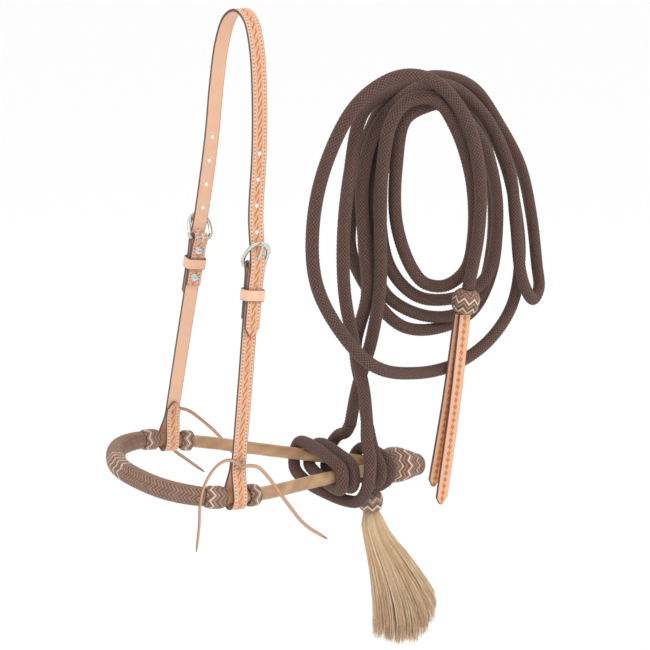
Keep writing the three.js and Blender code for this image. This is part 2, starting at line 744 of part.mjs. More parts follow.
function tasselBundle() {
  const last = tasselRows.length - 1;
  const top = tasselKnotAt.z - tasselKnotHeight / 2 - touchGap;
  const geometry = new THREE.CylinderGeometry(1, 1, last, 20, last);
  const place = geometry.attributes.position;
  for (let i = 0; i < place.count; i += 1) {
    const [fall, drift, spread] = tasselRows[Math.round(last / 2 - place.getY(i))];
    const x = tasselKnotAt.x + drift + place.getX(i) * spread;
    const y = tasselKnotAt.y - place.getZ(i) * spread * 0.7;
    place.setXYZ(i, x, y, top - fall);
  }
  return geometry;
}

piece('tassel', tasselBundle(), horsehair(), hackamore);

// The popper knot closes the lead's free end, and the popper's two straps hang from it
const leadStart = V(...leadRoute[0]);
const leadOut = leadStart.clone().sub(V(...leadRoute[1])).normalize();
const popperKnotAt = leadStart.clone().addScaledVector(leadOut, popperKnotHeight / 2 + touchGap);

const popperKnot = ballKnot(popperKnotRadius, popperKnotHeight);
const popperTurn = new THREE.Quaternion().setFromUnitVectors(V(0, 1, 0), leadOut);
popperKnot.applyQuaternion(popperTurn);
popperKnot.translate(...popperKnotAt.toArray());
piece('popper_knot', popperKnot, braid(), hackamore);

function popperStrap(length, from, toward, face) {
  const end = from.clone().addScaledVector(toward, length);
  const middle = from.clone().lerp(end, 0.5).addScaledVector(face, 2);
  const across = toward.clone().cross(face).normalize();
  const stations = stationsOn([from, middle, end], popperWidth, across, tipLength);
  return strapAlong(stations, popperThickness);
}

const popperTop = popperKnotAt.clone().addScaledVector(leadOut, popperKnotHeight / 2 + popperGap);
const frontTop = popperTop.clone().add(V(0, -popperSpread / 2, 0));
const rearTop = popperTop.clone().add(V(-3, popperSpread / 2, 0));
const frontWay = V(-0.135, -0.034, -0.99).normalize();
const rearWay = V(-0.16, -0.022, -0.985).normalize();
const popperFace = V(0.12, -1, 0).normalize();
piece('popper_front_strap', popperStrap(popperFrontLength, frontTop, frontWay, popperFace),
  leather(popperTan), hackamore);
piece('popper_rear_strap', popperStrap(popperRearLength, rearTop, rearWay, popperFace),
  leather(popperTan), hackamore);

// ---------------------------------------------------------------- laces

// Each cheek is closed above the bosal by a lace whose two tails hang from its knot. Their
// points are measured from the middle of the cheek's loop round the bosal.
const laces = {
  near_lace_front_tail: [
    [-1, -11, 40], [-7, -14, 46], [-16, -16, 50], [-27, -17, 47], [-36, -18, 39],
    [-43, -19, 28], [-47, -19, 13], [-49, -19, -11], [-53, -19, -39],
  ],
  near_lace_rear_tail: [
    [12, -11, 36], [19, -14, 34], [26, -17, 26], [37, -18, 9], [54, -17, -18],
    [72, -15, -43], [100, -12, -68],
  ],
  far_lace_rear_tail: [
    [12, 11, 36], [20, 15, 29], [34, 18, 21], [50, 19, 6], [71, 20, -18], [87, 20, -43],
  ],
  far_lace_front_tail: [
    [4, 11, 25], [2, 16, 11], [5, 19, -6], [14, 20, -23], [30, 20, -39], [51, 19, -59],
  ],
};
for (const [name, route] of Object.entries(laces)) {
  const side = name.startsWith('near') ? -1 : 1;
  const foot = V(0, 0, -cheekLength).applyMatrix4(cheekFrame(side).matrixWorld);
  const points = routeCurve(route).map((point) => point.add(foot));
  piece(name, ropeOn(points, laceWidth / 2, 3 * laceWidth, 8), leather(saddleTan), hackamore);
}

export default hackamore;
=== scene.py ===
"""A bosal hackamore: leather headstall, braided rawhide bosal, rope mecate with its tassel and popper.

The pieces follow in the order in which a maker puts them together. Everything is in metres, in
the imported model's own frame: +Z up, +X from the nose towards the heel, -Y the near side.
"""

import bpy
import numpy as np
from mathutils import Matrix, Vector


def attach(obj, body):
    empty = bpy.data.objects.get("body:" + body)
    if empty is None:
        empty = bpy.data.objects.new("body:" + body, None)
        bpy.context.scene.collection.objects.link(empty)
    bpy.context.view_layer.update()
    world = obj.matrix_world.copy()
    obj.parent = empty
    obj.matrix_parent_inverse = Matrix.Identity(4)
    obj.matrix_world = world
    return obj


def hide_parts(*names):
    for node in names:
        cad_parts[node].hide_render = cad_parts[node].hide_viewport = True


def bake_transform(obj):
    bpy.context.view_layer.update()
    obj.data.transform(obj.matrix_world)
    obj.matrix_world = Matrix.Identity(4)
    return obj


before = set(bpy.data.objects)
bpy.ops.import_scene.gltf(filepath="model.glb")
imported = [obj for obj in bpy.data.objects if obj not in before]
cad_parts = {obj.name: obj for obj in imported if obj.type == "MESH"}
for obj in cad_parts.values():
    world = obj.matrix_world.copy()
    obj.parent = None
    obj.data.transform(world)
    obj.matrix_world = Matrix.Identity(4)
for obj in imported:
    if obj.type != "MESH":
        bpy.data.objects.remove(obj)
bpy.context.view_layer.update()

# ------------------------------------------------------------------ the room it hangs in
# A pale floor well below the hanging tack, soft light from every side with one broad key
# light high on the near side, two narrow black cards that give the nickel its dark edges,
# and a camera a little above and ahead of the near cheek.

LOOK_AT = np.array([0.094, 0.0, -0.336])
CAMERA_AZIMUTH, CAMERA_HEIGHT, CAMERA_DISTANCE = np.radians(-30.0), np.radians(18.4), 1.418
CAMERA_LENS = 72.39
FLOOR_HEIGHT, FLOOR_REACH = -1.3, 60.0


def linear(colour):
    """A colour written as RRGGBB, turned from display values into scene-linear ones."""
    part = np.array([int(colour[i:i + 2], 16) for i in (0, 2, 4)]) / 255.0
    return np.where(part <= 0.04045, part / 12.92, ((part + 0.055) / 1.055) ** 2.4)


def finish_of(name, colour=None, roughness=0.5, metallic=0.0):
    """A new material with one principled shader. Returns the material, its node tree and that shader."""
    material = bpy.data.materials.new(name)
    material.use_nodes = True
    shader = material.node_tree.nodes["Principled BSDF"]
    shader.inputs["Roughness"].default_value = roughness
    shader.inputs["Metallic"].default_value = metallic
    if colour is not None:
        shader.inputs["Base Color"].default_value = (*linear(colour), 1.0)
    return material, material.node_tree, shader


def aim(thing, place, target):
    """Puts a camera or lamp at a place and turns its -Z axis towards a target."""
    thing.location = Vector(place)
    thing.rotation_euler = (Vector(target) - Vector(place)).to_track_quat("-Z", "Y").to_euler()


def area_light(name, place, size, power):
    """A square lamp that faces the hanging tack."""
    lamp = bpy.data.lights.new(name, "AREA")
    lamp.size, lamp.energy = size, power
    thing = bpy.data.objects.new(name, lamp)
    bpy.context.scene.collection.objects.link(thing)
    aim(thing, place, LOOK_AT)


scene = bpy.context.scene
scene.view_settings.view_transform = "Standard"
camera = bpy.data.objects.new("camera", bpy.data.cameras.new("camera"))
scene.collection.objects.link(camera)
scene.camera = camera
camera.data.lens = CAMERA_LENS
away = np.array([
    np.sin(CAMERA_AZIMUTH) * np.cos(CAMERA_HEIGHT),
    -np.cos(CAMERA_AZIMUTH) * np.cos(CAMERA_HEIGHT),
    np.sin(CAMERA_HEIGHT),
])
aim(camera, LOOK_AT + away * CAMERA_DISTANCE, LOOK_AT)

world = bpy.data.worlds.new("studio")
scene.world = world
world.use_nodes = True
world.node_tree.nodes["Background"].inputs["Color"].default_value = (1.0, 1.0, 1.0, 1.0)
world.node_tree.nodes["Background"].inputs["Strength"].default_value = 1.02
area_light("key_light", (-1.2, -1.9, 1.9), 1.1, 17.0)
area_light("side_light", (2.4, -1.2, 0.6), 1.5, 7.0)

floor_mesh = bpy.data.meshes.new("floor")
edge = FLOOR_REACH / 2
floor_mesh.from_pydata(
    [(x, y, FLOOR_HEIGHT) for x, y in ((-edge, -edge), (edge, -edge), (edge, edge), (-edge, edge))],
    [], [(0, 1, 2, 3)],
)
floor = bpy.data.objects.new("floor", floor_mesh)
scene.collection.objects.link(floor)
floor_mesh.materials.append(finish_of("floor_paint", "FBFBFB", 0.9)[0])
black_card = finish_of("black_card", "1A1817", 0.9)[0]
CARD_HALF_WIDTH, CARD_HALF_DEPTH, CARD_FOOT, CARD_TOP = 0.25, 0.2, -0.9, 1.2
for name, x, y in (("left_card", -1.9, -0.7), ("right_card", 1.3, -2.1)):
    card_mesh = bpy.data.meshes.new(name)
    card_mesh.from_pydata(
        [
            (x + CARD_HALF_WIDTH * end, y - CARD_HALF_DEPTH * end, height)
            for end, height in ((-1, CARD_FOOT), (1, CARD_FOOT), (1, CARD_TOP), (-1, CARD_TOP))
        ],
        [], [(0, 1, 2, 3)],
    )
    card_mesh.materials.append(black_card)
    card = bpy.data.objects.new(name, card_mesh)
    scene.collection.objects.link(card)

# ------------------------------------------------------------------ the mecate's free rope
# One long rope, 14 mm thick, of soft dark yarn plaited over a core. The lead runs from the
# popper knot through five turns of a hanging coil to the bosal, and the rein is one loop.

ROPE_RADIUS = 0.007
ROPE_SIDES = 24
ROPE_STEP = 0.0011
STRANDS_ROUND = 12
STRAND_LENGTH = 0.0044
STRAND_RISE = 0.00035
# The dark and light yarn colours are reached both by the fibres' own mottle and by painted shade between the
# strands and a painted highlight on their crowns.
YARN_DARK_AND_SHADE, YARN_MIDDLE, YARN_LIGHT_AND_HIGHLIGHT = linear("2A1A16"), linear("583C33"), linear("86665A")


def smooth_path(points, step, closed=False):
    """A centripetal Catmull-Rom curve through the points, walked in equal steps. Each span is a cubic
    whose end slopes come from the square roots of the three chord lengths around it."""
    p = np.asarray(points, float)
    if closed:
        p1, p2, p0, p3 = p, np.roll(p, -1, 0), np.roll(p, 1, 0), np.roll(p, -2, 0)
    else:
        p1, p2 = p[:-1], p[1:]
        p0 = np.vstack([2 * p[0] - p[1], p[:-2]])
        p3 = np.vstack([p[2:], 2 * p[-1] - p[-2]])
    d0, d1, d2 = (np.sqrt(np.linalg.norm(b - a, axis=1))[:, None] for a, b in ((p0, p1), (p1, p2), (p2, p3)))
    slope1 = ((p1 - p0) / d0 - (p2 - p0) / (d0 + d1) + (p2 - p1) / d1) * d1
    slope2 = ((p2 - p1) / d1 - (p3 - p1) / (d1 + d2) + (p3 - p2) / d2) * d1
    t = np.linspace(0, 1, 60, endpoint=False)[None, :, None]
    p1, p2, slope1, slope2 = (a[:, None, :] for a in (p1, p2, slope1, slope2))
    square, cube = -3 * p1 + 3 * p2 - 2 * slope1 - slope2, 2 * p1 - 2 * p2 + slope1 + slope2
    fine = (p1 + slope1 * t + square * t ** 2 + cube * t ** 3).reshape(-1, 3)
    fine = np.vstack([fine, p[:1] if closed else p[-1:]])
    run = np.append(0, np.cumsum(np.linalg.norm(np.diff(fine, axis=0), axis=1)))
    walk = np.linspace(0, run[-1], int(np.ceil(run[-1] / step)) + 1)
    walk = walk[:-1] if closed else walk
    return np.stack([np.interp(walk, run, fine[:, k]) for k in range(3)], 1), walk


def directions(path, across, closed=False):
    """Along, across and face for each place on a path: across is squared up to the path's own direction,
    and across x face = along."""
    if closed:
        along = np.roll(path, -1, 0) - np.roll(path, 1, 0)
    else:
        along = np.gradient(path, axis=0)
    along /= np.linalg.norm(along, axis=1)[:, None]
    across = np.broadcast_to(across, path.shape)
    across = across - (across * along).sum(1)[:, None] * along
    across = across / np.linalg.norm(across, axis=1)[:, None]
    return along, across, np.cross(along, across)


def new_piece(name, points, faces, tint, material, lay=None):
    """A mesh object at the origin, from points, lists of faces, a colour per point and a UV per corner."""
    mesh = bpy.data.meshes.new(name)
    corners = np.concatenate([f.ravel() for f in faces]).astype(np.int32)
    sizes = np.concatenate([np.full(len(f), f.shape[1]) for f in faces])
    mesh.vertices.add(len(points))
    mesh.vertices.foreach_set("co", np.asarray(points, np.float32).ravel())
    mesh.loops.add(len(corners))
    mesh.loops.foreach_set("vertex_index", corners)
    mesh.polygons.add(len(sizes))
    mesh.polygons.foreach_set("loop_start", np.append(0, np.cumsum(sizes)[:-1]).astype(np.int32))
    mesh.update(calc_edges=True)
    mesh.polygons.foreach_set("use_smooth", np.ones(len(sizes), bool))
    rgba = np.ones((len(points), 4), np.float32)
    rgba[:, :3] = tint
    mesh.attributes.new("tint", "FLOAT_COLOR", "POINT").data.foreach_set("color", rgba.ravel())
    if lay is not None:
        mesh.uv_layers.new(name="lay").data.foreach_set("uv", np.asarray(lay, np.float32).ravel())
    mesh.materials.append(material)
    thing = bpy.data.objects.new(name, mesh)
    scene.collection.objects.link(thing)
    return thing


def skin(name, rings, run, tint, material, closed=False):
    """One closed skin over a grid of rings, rows x sides x 3. Quads join each ring to the next, and an open
    end is a fan round its middle. The UV map holds the length along in metres and the share of the way
    round."""
    rows, sides = rings.shape[:2]
    points = rings.reshape(-1, 3)
    tint = np.broadcast_to(tint, rings.shape).reshape(-1, 3)
    joins = rows if closed else rows - 1
    row, side = (a.ravel() for a in np.meshgrid(np.arange(joins), np.arange(sides), indexing="ij"))
    here, after, beside = row * sides, (row + 1) % rows * sides, (side + 1) % sides
    faces = [np.stack([here + side, here + beside, after + beside, after + side], 1)]
    far = np.append(run, 2 * run[-1] - run[-2])
    lay = np.stack([
        np.stack([far[row], side / sides], 1), np.stack([far[row], (side + 1) / sides], 1),
        np.stack([far[row + 1], (side + 1) / sides], 1), np.stack([far[row + 1], side / sides], 1),
    ], 1).reshape(-1, 2)
    if not closed:
        ring, spoke = np.arange(sides), (np.arange(sides) + 1) % sides
        last, hub = (rows - 1) * sides, len(points)
        points = np.vstack([points, rings[0].mean(0), rings[-1].mean(0)])
        tint = np.vstack([tint, tint[:sides].mean(0), tint[-sides:].mean(0)])
        faces.append(np.stack([np.full(sides, hub), spoke, ring], 1))
        faces.append(np.stack([np.full(sides, hub + 1), last + ring, last + spoke], 1))
        turn = np.stack([np.full(6 * sides, run[0]), np.tile(np.arange(3) / 3, 2 * sides)], 1)
        lay = np.vstack([lay, turn])
    return new_piece(name, points, faces, tint, material, lay)


def link_wave(tree, source, cycles, phase=0.0):
    """Adds sin(2 pi (cycles x source) + phase) to a node tree."""
    scaled = tree.nodes.new("ShaderNodeMath")
    scaled.operation = "MULTIPLY_ADD"
    tree.links.new(source, scaled.inputs[0])
    scaled.inputs[1].default_value = 2 * np.pi * cycles
    scaled.inputs[2].default_value = phase
    wave = tree.nodes.new("ShaderNodeMath")
    wave.operation = "SINE"
    tree.links.new(scaled.outputs[0], wave.inputs[0])
    return wave.outputs[0]


def math_node(tree, operation, first, second):
    """A maths node whose inputs are sockets or numbers."""
    node = tree.nodes.new("ShaderNodeMath")
    node.operation = operation
    for socket, value in zip(node.inputs, (first, second)):
        if isinstance(value, (int, float)):
            socket.default_value = value
        else:
            tree.links.new(value, socket)
    return node.outputs[0]


def weighted_sum(tree, first, first_share, second, second_share):
    """The sum of two sockets, each times its own number."""
    first = math_node(tree, "MULTIPLY", first, first_share)
    return math_node(tree, "ADD", first, math_node(tree, "MULTIPLY", second, second_share))


def noise_node(tree, scale, detail, stretch=(1, 1, 1)):
    """Noise over a piece's object coordinates, stretched along an axis if asked."""
    place = tree.nodes.new("ShaderNodeTexCoord")
    mapping = tree.nodes.new("ShaderNodeMapping")
    mapping.inputs["Scale"].default_value = stretch
    noise = tree.nodes.new("ShaderNodeTexNoise")
    noise.inputs["Scale"].default_value = scale
    noise.inputs["Detail"].default_value = detail
    tree.links.new(place.outputs["Object"], mapping.inputs["Vector"])
    tree.links.new(mapping.outputs["Vector"], noise.inputs["Vector"])
    return noise.outputs["Fac"]


def ramp_node(tree, source, stops):
    """A colour ramp with (place, linear colour) stops."""
    ramp = tree.nodes.new("ShaderNodeValToRGB")
    tree.links.new(source, ramp.inputs["Fac"])
    while len(ramp.color_ramp.elements) < len(stops):
        ramp.color_ramp.elements.new(0.5)
    for element, (place, colour) in zip(ramp.color_ramp.elements, stops):
        element.position = place
        element.color = (*colour, 1.0)
    return ramp.outputs["Color"]


def bump_node(tree, shader, height, distance, strength=1.0):
    """Height in metres times distance, into the shader's normal."""
    bump = tree.nodes.new("ShaderNodeBump")
    bump.inputs["Strength"].default_value = strength
    bump.inputs["Distance"].default_value = distance
    tree.links.new(height, bump.inputs["Height"])
    tree.links.new(bump.outputs["Normal"], shader.inputs["Normal"])


def rope_finish():
    """Plaited yarn: two sets of slanting strands cross, with painted shade between them and a painted
    highlight on their crowns, over the fibres' own mottle.
    """
    material, tree, shader = finish_of("mecate_yarn", roughness=0.8)
    shader.inputs["Sheen Weight"].default_value = 0.08
    shader.inputs["Sheen Roughness"].default_value = 0.5
    lay = tree.nodes.new("ShaderNodeUVMap")
    lay.uv_map = "lay"
    split = tree.nodes.new("ShaderNodeSeparateXYZ")
    tree.links.new(lay.outputs["UV"], split.inputs[0])
    run, turn = split.outputs[0], split.outputs[1]
    lengthwise = link_wave(tree, run, 1 / STRAND_LENGTH, np.pi / 2)
    crowns = math_node(tree, "MULTIPLY", lengthwise, link_wave(tree, turn, STRANDS_ROUND, np.pi / 2))
    rightward = weighted_sum(tree, run, 3.0 / STRAND_LENGTH, turn, 3.0 * STRANDS_ROUND)
    yarns = link_wave(tree, rightward, 1.0)
    height = weighted_sum(tree, crowns, 0.24, yarns, 0.12)
    fibre = noise_node(tree, 1000.0, 5.0)
    raised = math_node(tree, "ADD", height, 0.12)
    # The colour follows the strands' height as well as the fibre noise: painted shade in the gaps between
    # strands and a painted highlight on their crowns.
    shade = math_node(tree, "ADD", raised, math_node(tree, "MULTIPLY", fibre, 0.95))
    colour = ramp_node(tree, shade, [(0.25, YARN_DARK_AND_SHADE), (0.6, YARN_MIDDLE), (1.0, YARN_LIGHT_AND_HIGHLIGHT)])
    tree.links.new(colour, shader.inputs["Base Color"])
    rough = math_node(tree, "ADD", height, math_node(tree, "MULTIPLY", fibre, 0.5))
    bump_node(tree, shader, rough, 0.0006, 0.9)
    return material


mecate_yarn = rope_finish()


def rope(name, points, across):
    """A round tube along a smooth path. Its radius swells and dips by the product of a cosine along the rope
    and a cosine round it, which are the crowns of the crossing strands."""
    path, run = smooth_path(points, ROPE_STEP)
    _, aside, face = directions(path, across)
    angle = np.linspace(0, 2 * np.pi, ROPE_SIDES, endpoint=False)[None, :]
    crown = np.cos(2 * np.pi * run[:, None] / STRAND_LENGTH) * np.cos(STRANDS_ROUND * angle)
    radius = (ROPE_RADIUS - STRAND_RISE / 2 + STRAND_RISE * crown)[:, :, None]
    rings = path[:, None] + radius * (
        aside[:, None] * np.cos(angle)[:, :, None] + face[:, None] * np.sin(angle)[:, :, None]
    )
    return skin(name, rings, run, YARN_MIDDLE, mecate_yarn), path


lead_route = [
    (0.25, -0.046, -0.307), (0.26, -0.048, -0.244), (0.258, -0.049, -0.181), (0.237, -0.049, -0.117),
    (0.199, -0.044, -0.076), (0.155, -0.044, -0.068), (0.107, -0.044, -0.091), (0.072, -0.044, -0.144),
    (0.054, -0.046, -0.205), (0.055, -0.049, -0.269), (0.082, -0.053, -0.326), (0.121, -0.058, -0.37),
    (0.186, -0.043, -0.395), (0.248, -0.031, -0.399), (0.308, -0.015, -0.384), (0.358, 0.009, -0.353),
    (0.383, 0.032, -0.303), (0.377, 0.039, -0.241), (0.356, 0.041, -0.181), (0.321, 0.043, -0.128),
    (0.266, 0.046, -0.097), (0.203, 0.037, -0.098), (0.156, 0.014, -0.136), (0.13, -0.002, -0.193),
    (0.128, 0.004, -0.256), (0.156, 0.001, -0.314), (0.201, 0.009, -0.358), (0.261, 0.021, -0.373),
    (0.317, 0.032, -0.363), (0.346, 0.038, -0.323), (0.353, 0.04, -0.26), (0.341, 0.038, -0.198),
    (0.311, 0.035, -0.142), (0.26, 0.039, -0.108), (0.212, 0.021, -0.114), (0.177, 0.01, -0.131),
    (0.155, 0.01, -0.189), (0.156, 0.006, -0.253), (0.174, 0.008, -0.312), (0.227, 0.012, -0.349),
    (0.283, 0.019, -0.359), (0.319, 0.024, -0.342), (0.334, 0.025, -0.294), (0.334, 0.025, -0.23),
    (0.315, 0.021, -0.169), (0.277, 0.015, -0.13), (0.221, 0.005, -0.104), (0.188, -0.004, -0.119),
    (0.162, -0.009, -0.161), (0.156, -0.011, -0.224), (0.176, -0.003, -0.284), (0.22, 0.003, -0.325),
    (0.276, 0.003, -0.332), (0.313, 0.005, -0.315), (0.327, 0.007, -0.269), (0.321, 0.006, -0.206),
    (0.294, 0.003, -0.149), (0.246, -0.005, -0.11), (0.206, -0.021, -0.105), (0.179, -0.021, -0.117),
    (0.168, -0.023, -0.161), (0.17, -0.021, -0.225), (0.192, -0.019, -0.28), (0.214, -0.017, -0.303),
    (0.239, -0.021, -0.307), (0.258, -0.029, -0.29), (0.265, -0.032, -0.252), (0.261, -0.031, -0.19),
    (0.236, -0.033, -0.129), (0.206, -0.036, -0.096), (0.175, -0.032, -0.096), (0.153, -0.035, -0.115),
    (0.142, -0.036, -0.163), (0.141, -0.035, -0.227), (0.145, -0.03, -0.29), (0.139, -0.024, -0.352),
    (0.13, -0.009, -0.414), (0.129, 0.003, -0.459),
]
rein_route = [
    (0.126, -0.037, -0.444), (0.125, -0.032, -0.41), (0.113, -0.03, -0.354), (0.1, -0.031, -0.292),
    (0.099, -0.03, -0.228), (0.11, -0.024, -0.166), (0.135, -0.008, -0.108), (0.194, 0.014, -0.089),
    (0.254, 0.031, -0.083), (0.313, 0.044, -0.101), (0.357, 0.049, -0.148), (0.39, 0.047, -0.201),
    (0.403, 0.038, -0.262), (0.4, 0.02, -0.316), (0.396, 0.009, -0.341), (0.38, -0.001, -0.351),
    (0.364, -0.007, -0.336), (0.352, -0.009, -0.31), (0.347, -0.002, -0.251), (0.34, 0.006, -0.189),
    (0.312, 0.015, -0.132), (0.262, 0.014, -0.093), (0.206, 0.004, -0.091), (0.151, -0.009, -0.126),
    (0.13, -0.016, -0.179), (0.131, -0.019, -0.243), (0.138, -0.015, -0.305), (0.131, -0.003, -0.367),
    (0.146, 0.003, -0.432), (0.15, 0, -0.467),
]
ACROSS_THE_HORSE = np.array([0.0, 1.0, 0.0])

lead, lead_path = rope("mecate_lead_rope", lead_route, ACROSS_THE_HORSE)
rein, rein_path = rope("mecate_rein_rope", rein_route, ACROSS_THE_HORSE)
for piece, node in ((lead, "mecate_lead"), (rein, "mecate_rein")):
    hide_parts(node)
    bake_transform(piece)

# ------------------------------------------------------------------ the bosal's core
# Twisted rawhide bent round a form: one stick from the heel round the nose and back to the
# heel, its two shanks bare and varnished tan between the side stops and the heel knot.

SWING_AXIS = np.array([-0.059, 0.0, -0.469])
BOSAL_PITCH = np.radians(12.3)
HALF_WIDTH, NOSE_REACH, CORE_RADIUS = 0.084, 0.091, 0.007
SHANK_HALF = CORE_RADIUS + 0.001
HEEL_START, HEEL_LENGTH = 0.238, 0.052
HIDE_PALE, HIDE_TAN, HIDE_BROWN = linear("CBA47C"), linear("B48C66"), linear("936D4A")


def on_bosal(points):
    """Points of the bosal's own plane, taken into the frame: turned about Y by its pitch, then moved."""
    c, s = np.cos(BOSAL_PITCH), np.sin(BOSAL_PITCH)
    return np.asarray(points, float) @ np.array([[c, 0, -s], [0, 1, 0], [s, 0, c]]) + SWING_AXIS


def carried(move, rings):
    """A grid of rings taken through move, a function of a plain list of points."""
    return move(rings.reshape(-1, 3)).reshape(rings.shape)


def mixed(first, second, share):
    """The first colour blended towards the second by a share for each point of a grid."""
    return first + (second - first) * share[:, :, None]


def tapered(share):
    """Half the spread of the shanks, where share is 1 at the cheeks and 0 at the heel knot."""
    return SHANK_HALF + share * (HALF_WIDTH - SHANK_HALF)


half_outline = [
    (0, HALF_WIDTH), (-0.036, HALF_WIDTH - 0.003), (-0.066, HALF_WIDTH - 0.022), (-0.084, HALF_WIDTH - 0.053),
]
shank_outline = [
    (0.044, tapered(0.868)), (0.112, tapered(0.526)), (0.180, tapered(0.21)),
    (HEEL_START - 0.004, SHANK_HALF + 0.0006), (HEEL_START + 0.008, SHANK_HALF),
    (HEEL_START + HEEL_LENGTH - 0.014, SHANK_HALF),
]
near_half = [(u, -w, 0) for u, w in shank_outline[::-1] + half_outline]
far_half = [(u, w, 0) for u, w in half_outline[::-1] + shank_outline]
core_path, core_run = smooth_path(near_half + [(-NOSE_REACH, 0, 0)] + far_half, 0.001)
OUT_OF_PLANE = np.array([0.0, 0.0, 1.0])


def core_at(u, side):
    """How far along the core a place u from the swing axis lies, on the near (-1) or far (+1) side."""
    on_side = np.where(np.sign(core_path[:, 1]) == side, np.abs(core_path[:, 0] - u), 1.0)
    return core_run[np.argmin(on_side)]


def on_core(start, end, step):
    """The stretch of the core between two lengths along it, with its directions."""
    run = np.linspace(start, end, int(np.ceil(abs(end - start) / step)) + 1)
    path = np.stack([np.interp(run, core_run, core_path[:, k]) for k in range(3)], 1)
    return path, run, directions(path, OUT_OF_PLANE)


def round_rings(path, ways, radius, sides):
    """Rings round a path. The radius is one number, one for each ring, or one for each point."""
    angle = np.linspace(0, 2 * np.pi, sides, endpoint=False)
    radius = np.broadcast_to(np.atleast_2d(radius), (len(path), sides))[:, :, None]
    spoke = ways[1][:, None] * np.cos(angle)[None, :, None] + ways[2][:, None] * np.sin(angle)[None, :, None]
    return path[:, None] + radius * spoke, angle[None, :]


def tint_finish(name, roughness, grain, depth, variation, coat=0.0, stretch=(1, 1, 1)):
    """A finish coloured by the piece's own tint, mottled and bumped by two sizes of noise."""
    material, tree, shader = finish_of(name, roughness=roughness)
    shader.inputs["Coat Weight"].default_value = coat
    shader.inputs["Coat Roughness"].default_value = 0.3
    tint = tree.nodes.new("ShaderNodeAttribute")
    tint.attribute_name = "tint"
    cloud = noise_node(tree, grain / 12, 3.0)
    fine = noise_node(tree, grain, 4.0, stretch=stretch)
    mottle = weighted_sum(tree, cloud, variation, fine, variation)
    mottle = math_node(tree, "ADD", mottle, 1.0 - variation)
    scale = tree.nodes.new("ShaderNodeVectorMath")
    scale.operation = "SCALE"
    tree.links.new(tint.outputs["Color"], scale.inputs[0])
    tree.links.new(mottle, scale.inputs["Scale"])
    tree.links.new(scale.outputs[0], shader.inputs["Base Color"])
    bump_node(tree, shader, fine, depth, 0.8)
    return material


varnished_hide = tint_finish("varnished_hide", 0.42, 1100.0, 0.0004, 0.35, coat=0.15)


def bosal_core():
    """A tube 14 mm thick whose tint drifts between three tans in long slanting patches."""
    path, run, ways = on_core(0, core_run[-1], 0.002)
    rings, angle = round_rings(path, ways, CORE_RADIUS, 36)
    twist = np.sin(angle * 2 + run[:, None] * 260) * 0.5 + 0.5
    patch = np.sin(run[:, None] * 97 + np.sin(angle + run[:, None] * 31) * 2) * 0.5 + 0.5
    tint = mixed(HIDE_TAN, HIDE_PALE, patch * 0.7) + (HIDE_BROWN - HIDE_TAN) * (twist * 0.45)[:, :, None]
    rings = path[:, None] + (rings - path[:, None]) * (1 + 0.02 * twist[:, :, None] - 0.02)
    return skin("rawhide_core", carried(on_bosal, rings), run, tint, varnished_hide)


core = bosal_core()
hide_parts("bosal_core")
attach(core, "bosal")

# ------------------------------------------------------------------ the plaited nose and stops
# Fine brown rawhide strings are plaited round the core in a herringbone: over the nose, and
# built up as four short barrels that keep the cheek loops in place. Pale strings inlay zigzags.

# The darkest plait colour is painted shade, used in the gaps between strings and at the turned-in ends of the
# sleeves.
PLAIT_PAINTED_SHADE, PLAIT_MIDDLE, PLAIT_PALE = linear("2E1C16"), linear("76503F"), linear("C29C84")
INLAY = linear("F0DAC4")
STRING_RISE = 0.0006
NOSE_RADIUS, STOP_RADIUS, SLEEVE_BORE = 0.0102, 0.0116, 0.0073
GROOVE, FRONT_STOP, REAR_STOP = 0.026, 0.021, 0.014
plaited_string = tint_finish("plaited_string", 0.5, 1800.0, 0.0003, 0.3, coat=0.08)


def herringbone(angle, run, teeth, reach, pitch):
    """Strings that slant along the piece and turn back at each tooth round it. Returns where each point lies
    between two turns (0 to 1), its height on the string (0 to 1), and the number of its string."""
    fold = np.abs(2 * ((angle * teeth / (2 * np.pi)) % 1) - 1)
    place = (run + fold * reach) / pitch
    return fold, np.sin(np.pi * (place % 1)) ** 0.6, np.floor(place)


def string_tint(height, string, seed=0.0):
    """Painted shade between the strings. Every other string is pale, and each one has a slightly different
    tone.
    """
    shade = np.sin(string * 12.9898 + seed) * 43758.5453
    shade = (0.3 * (shade - np.floor(shade)) + 0.6 * (string % 2))[:, :, None]
    # Painted shade: the colour darkens where a string's height falls, in the gaps between strings.
    crown = np.clip(height * 1.5 - 0.35, 0, 1)[:, :, None]
    return PLAIT_PAINTED_SHADE + (PLAIT_MIDDLE + (PLAIT_PALE - PLAIT_MIDDLE) * shade - PLAIT_PAINTED_SHADE) * crown


def inlaid(tint, height, off_line, half_width):
    """Lays a pale string where a point is within half_width of the zigzag's line."""
    on = np.clip((half_width - np.abs(off_line)) / (0.35 * half_width), 0, 1)
    return mixed(tint, INLAY, on), np.maximum(height, on * 1.25)


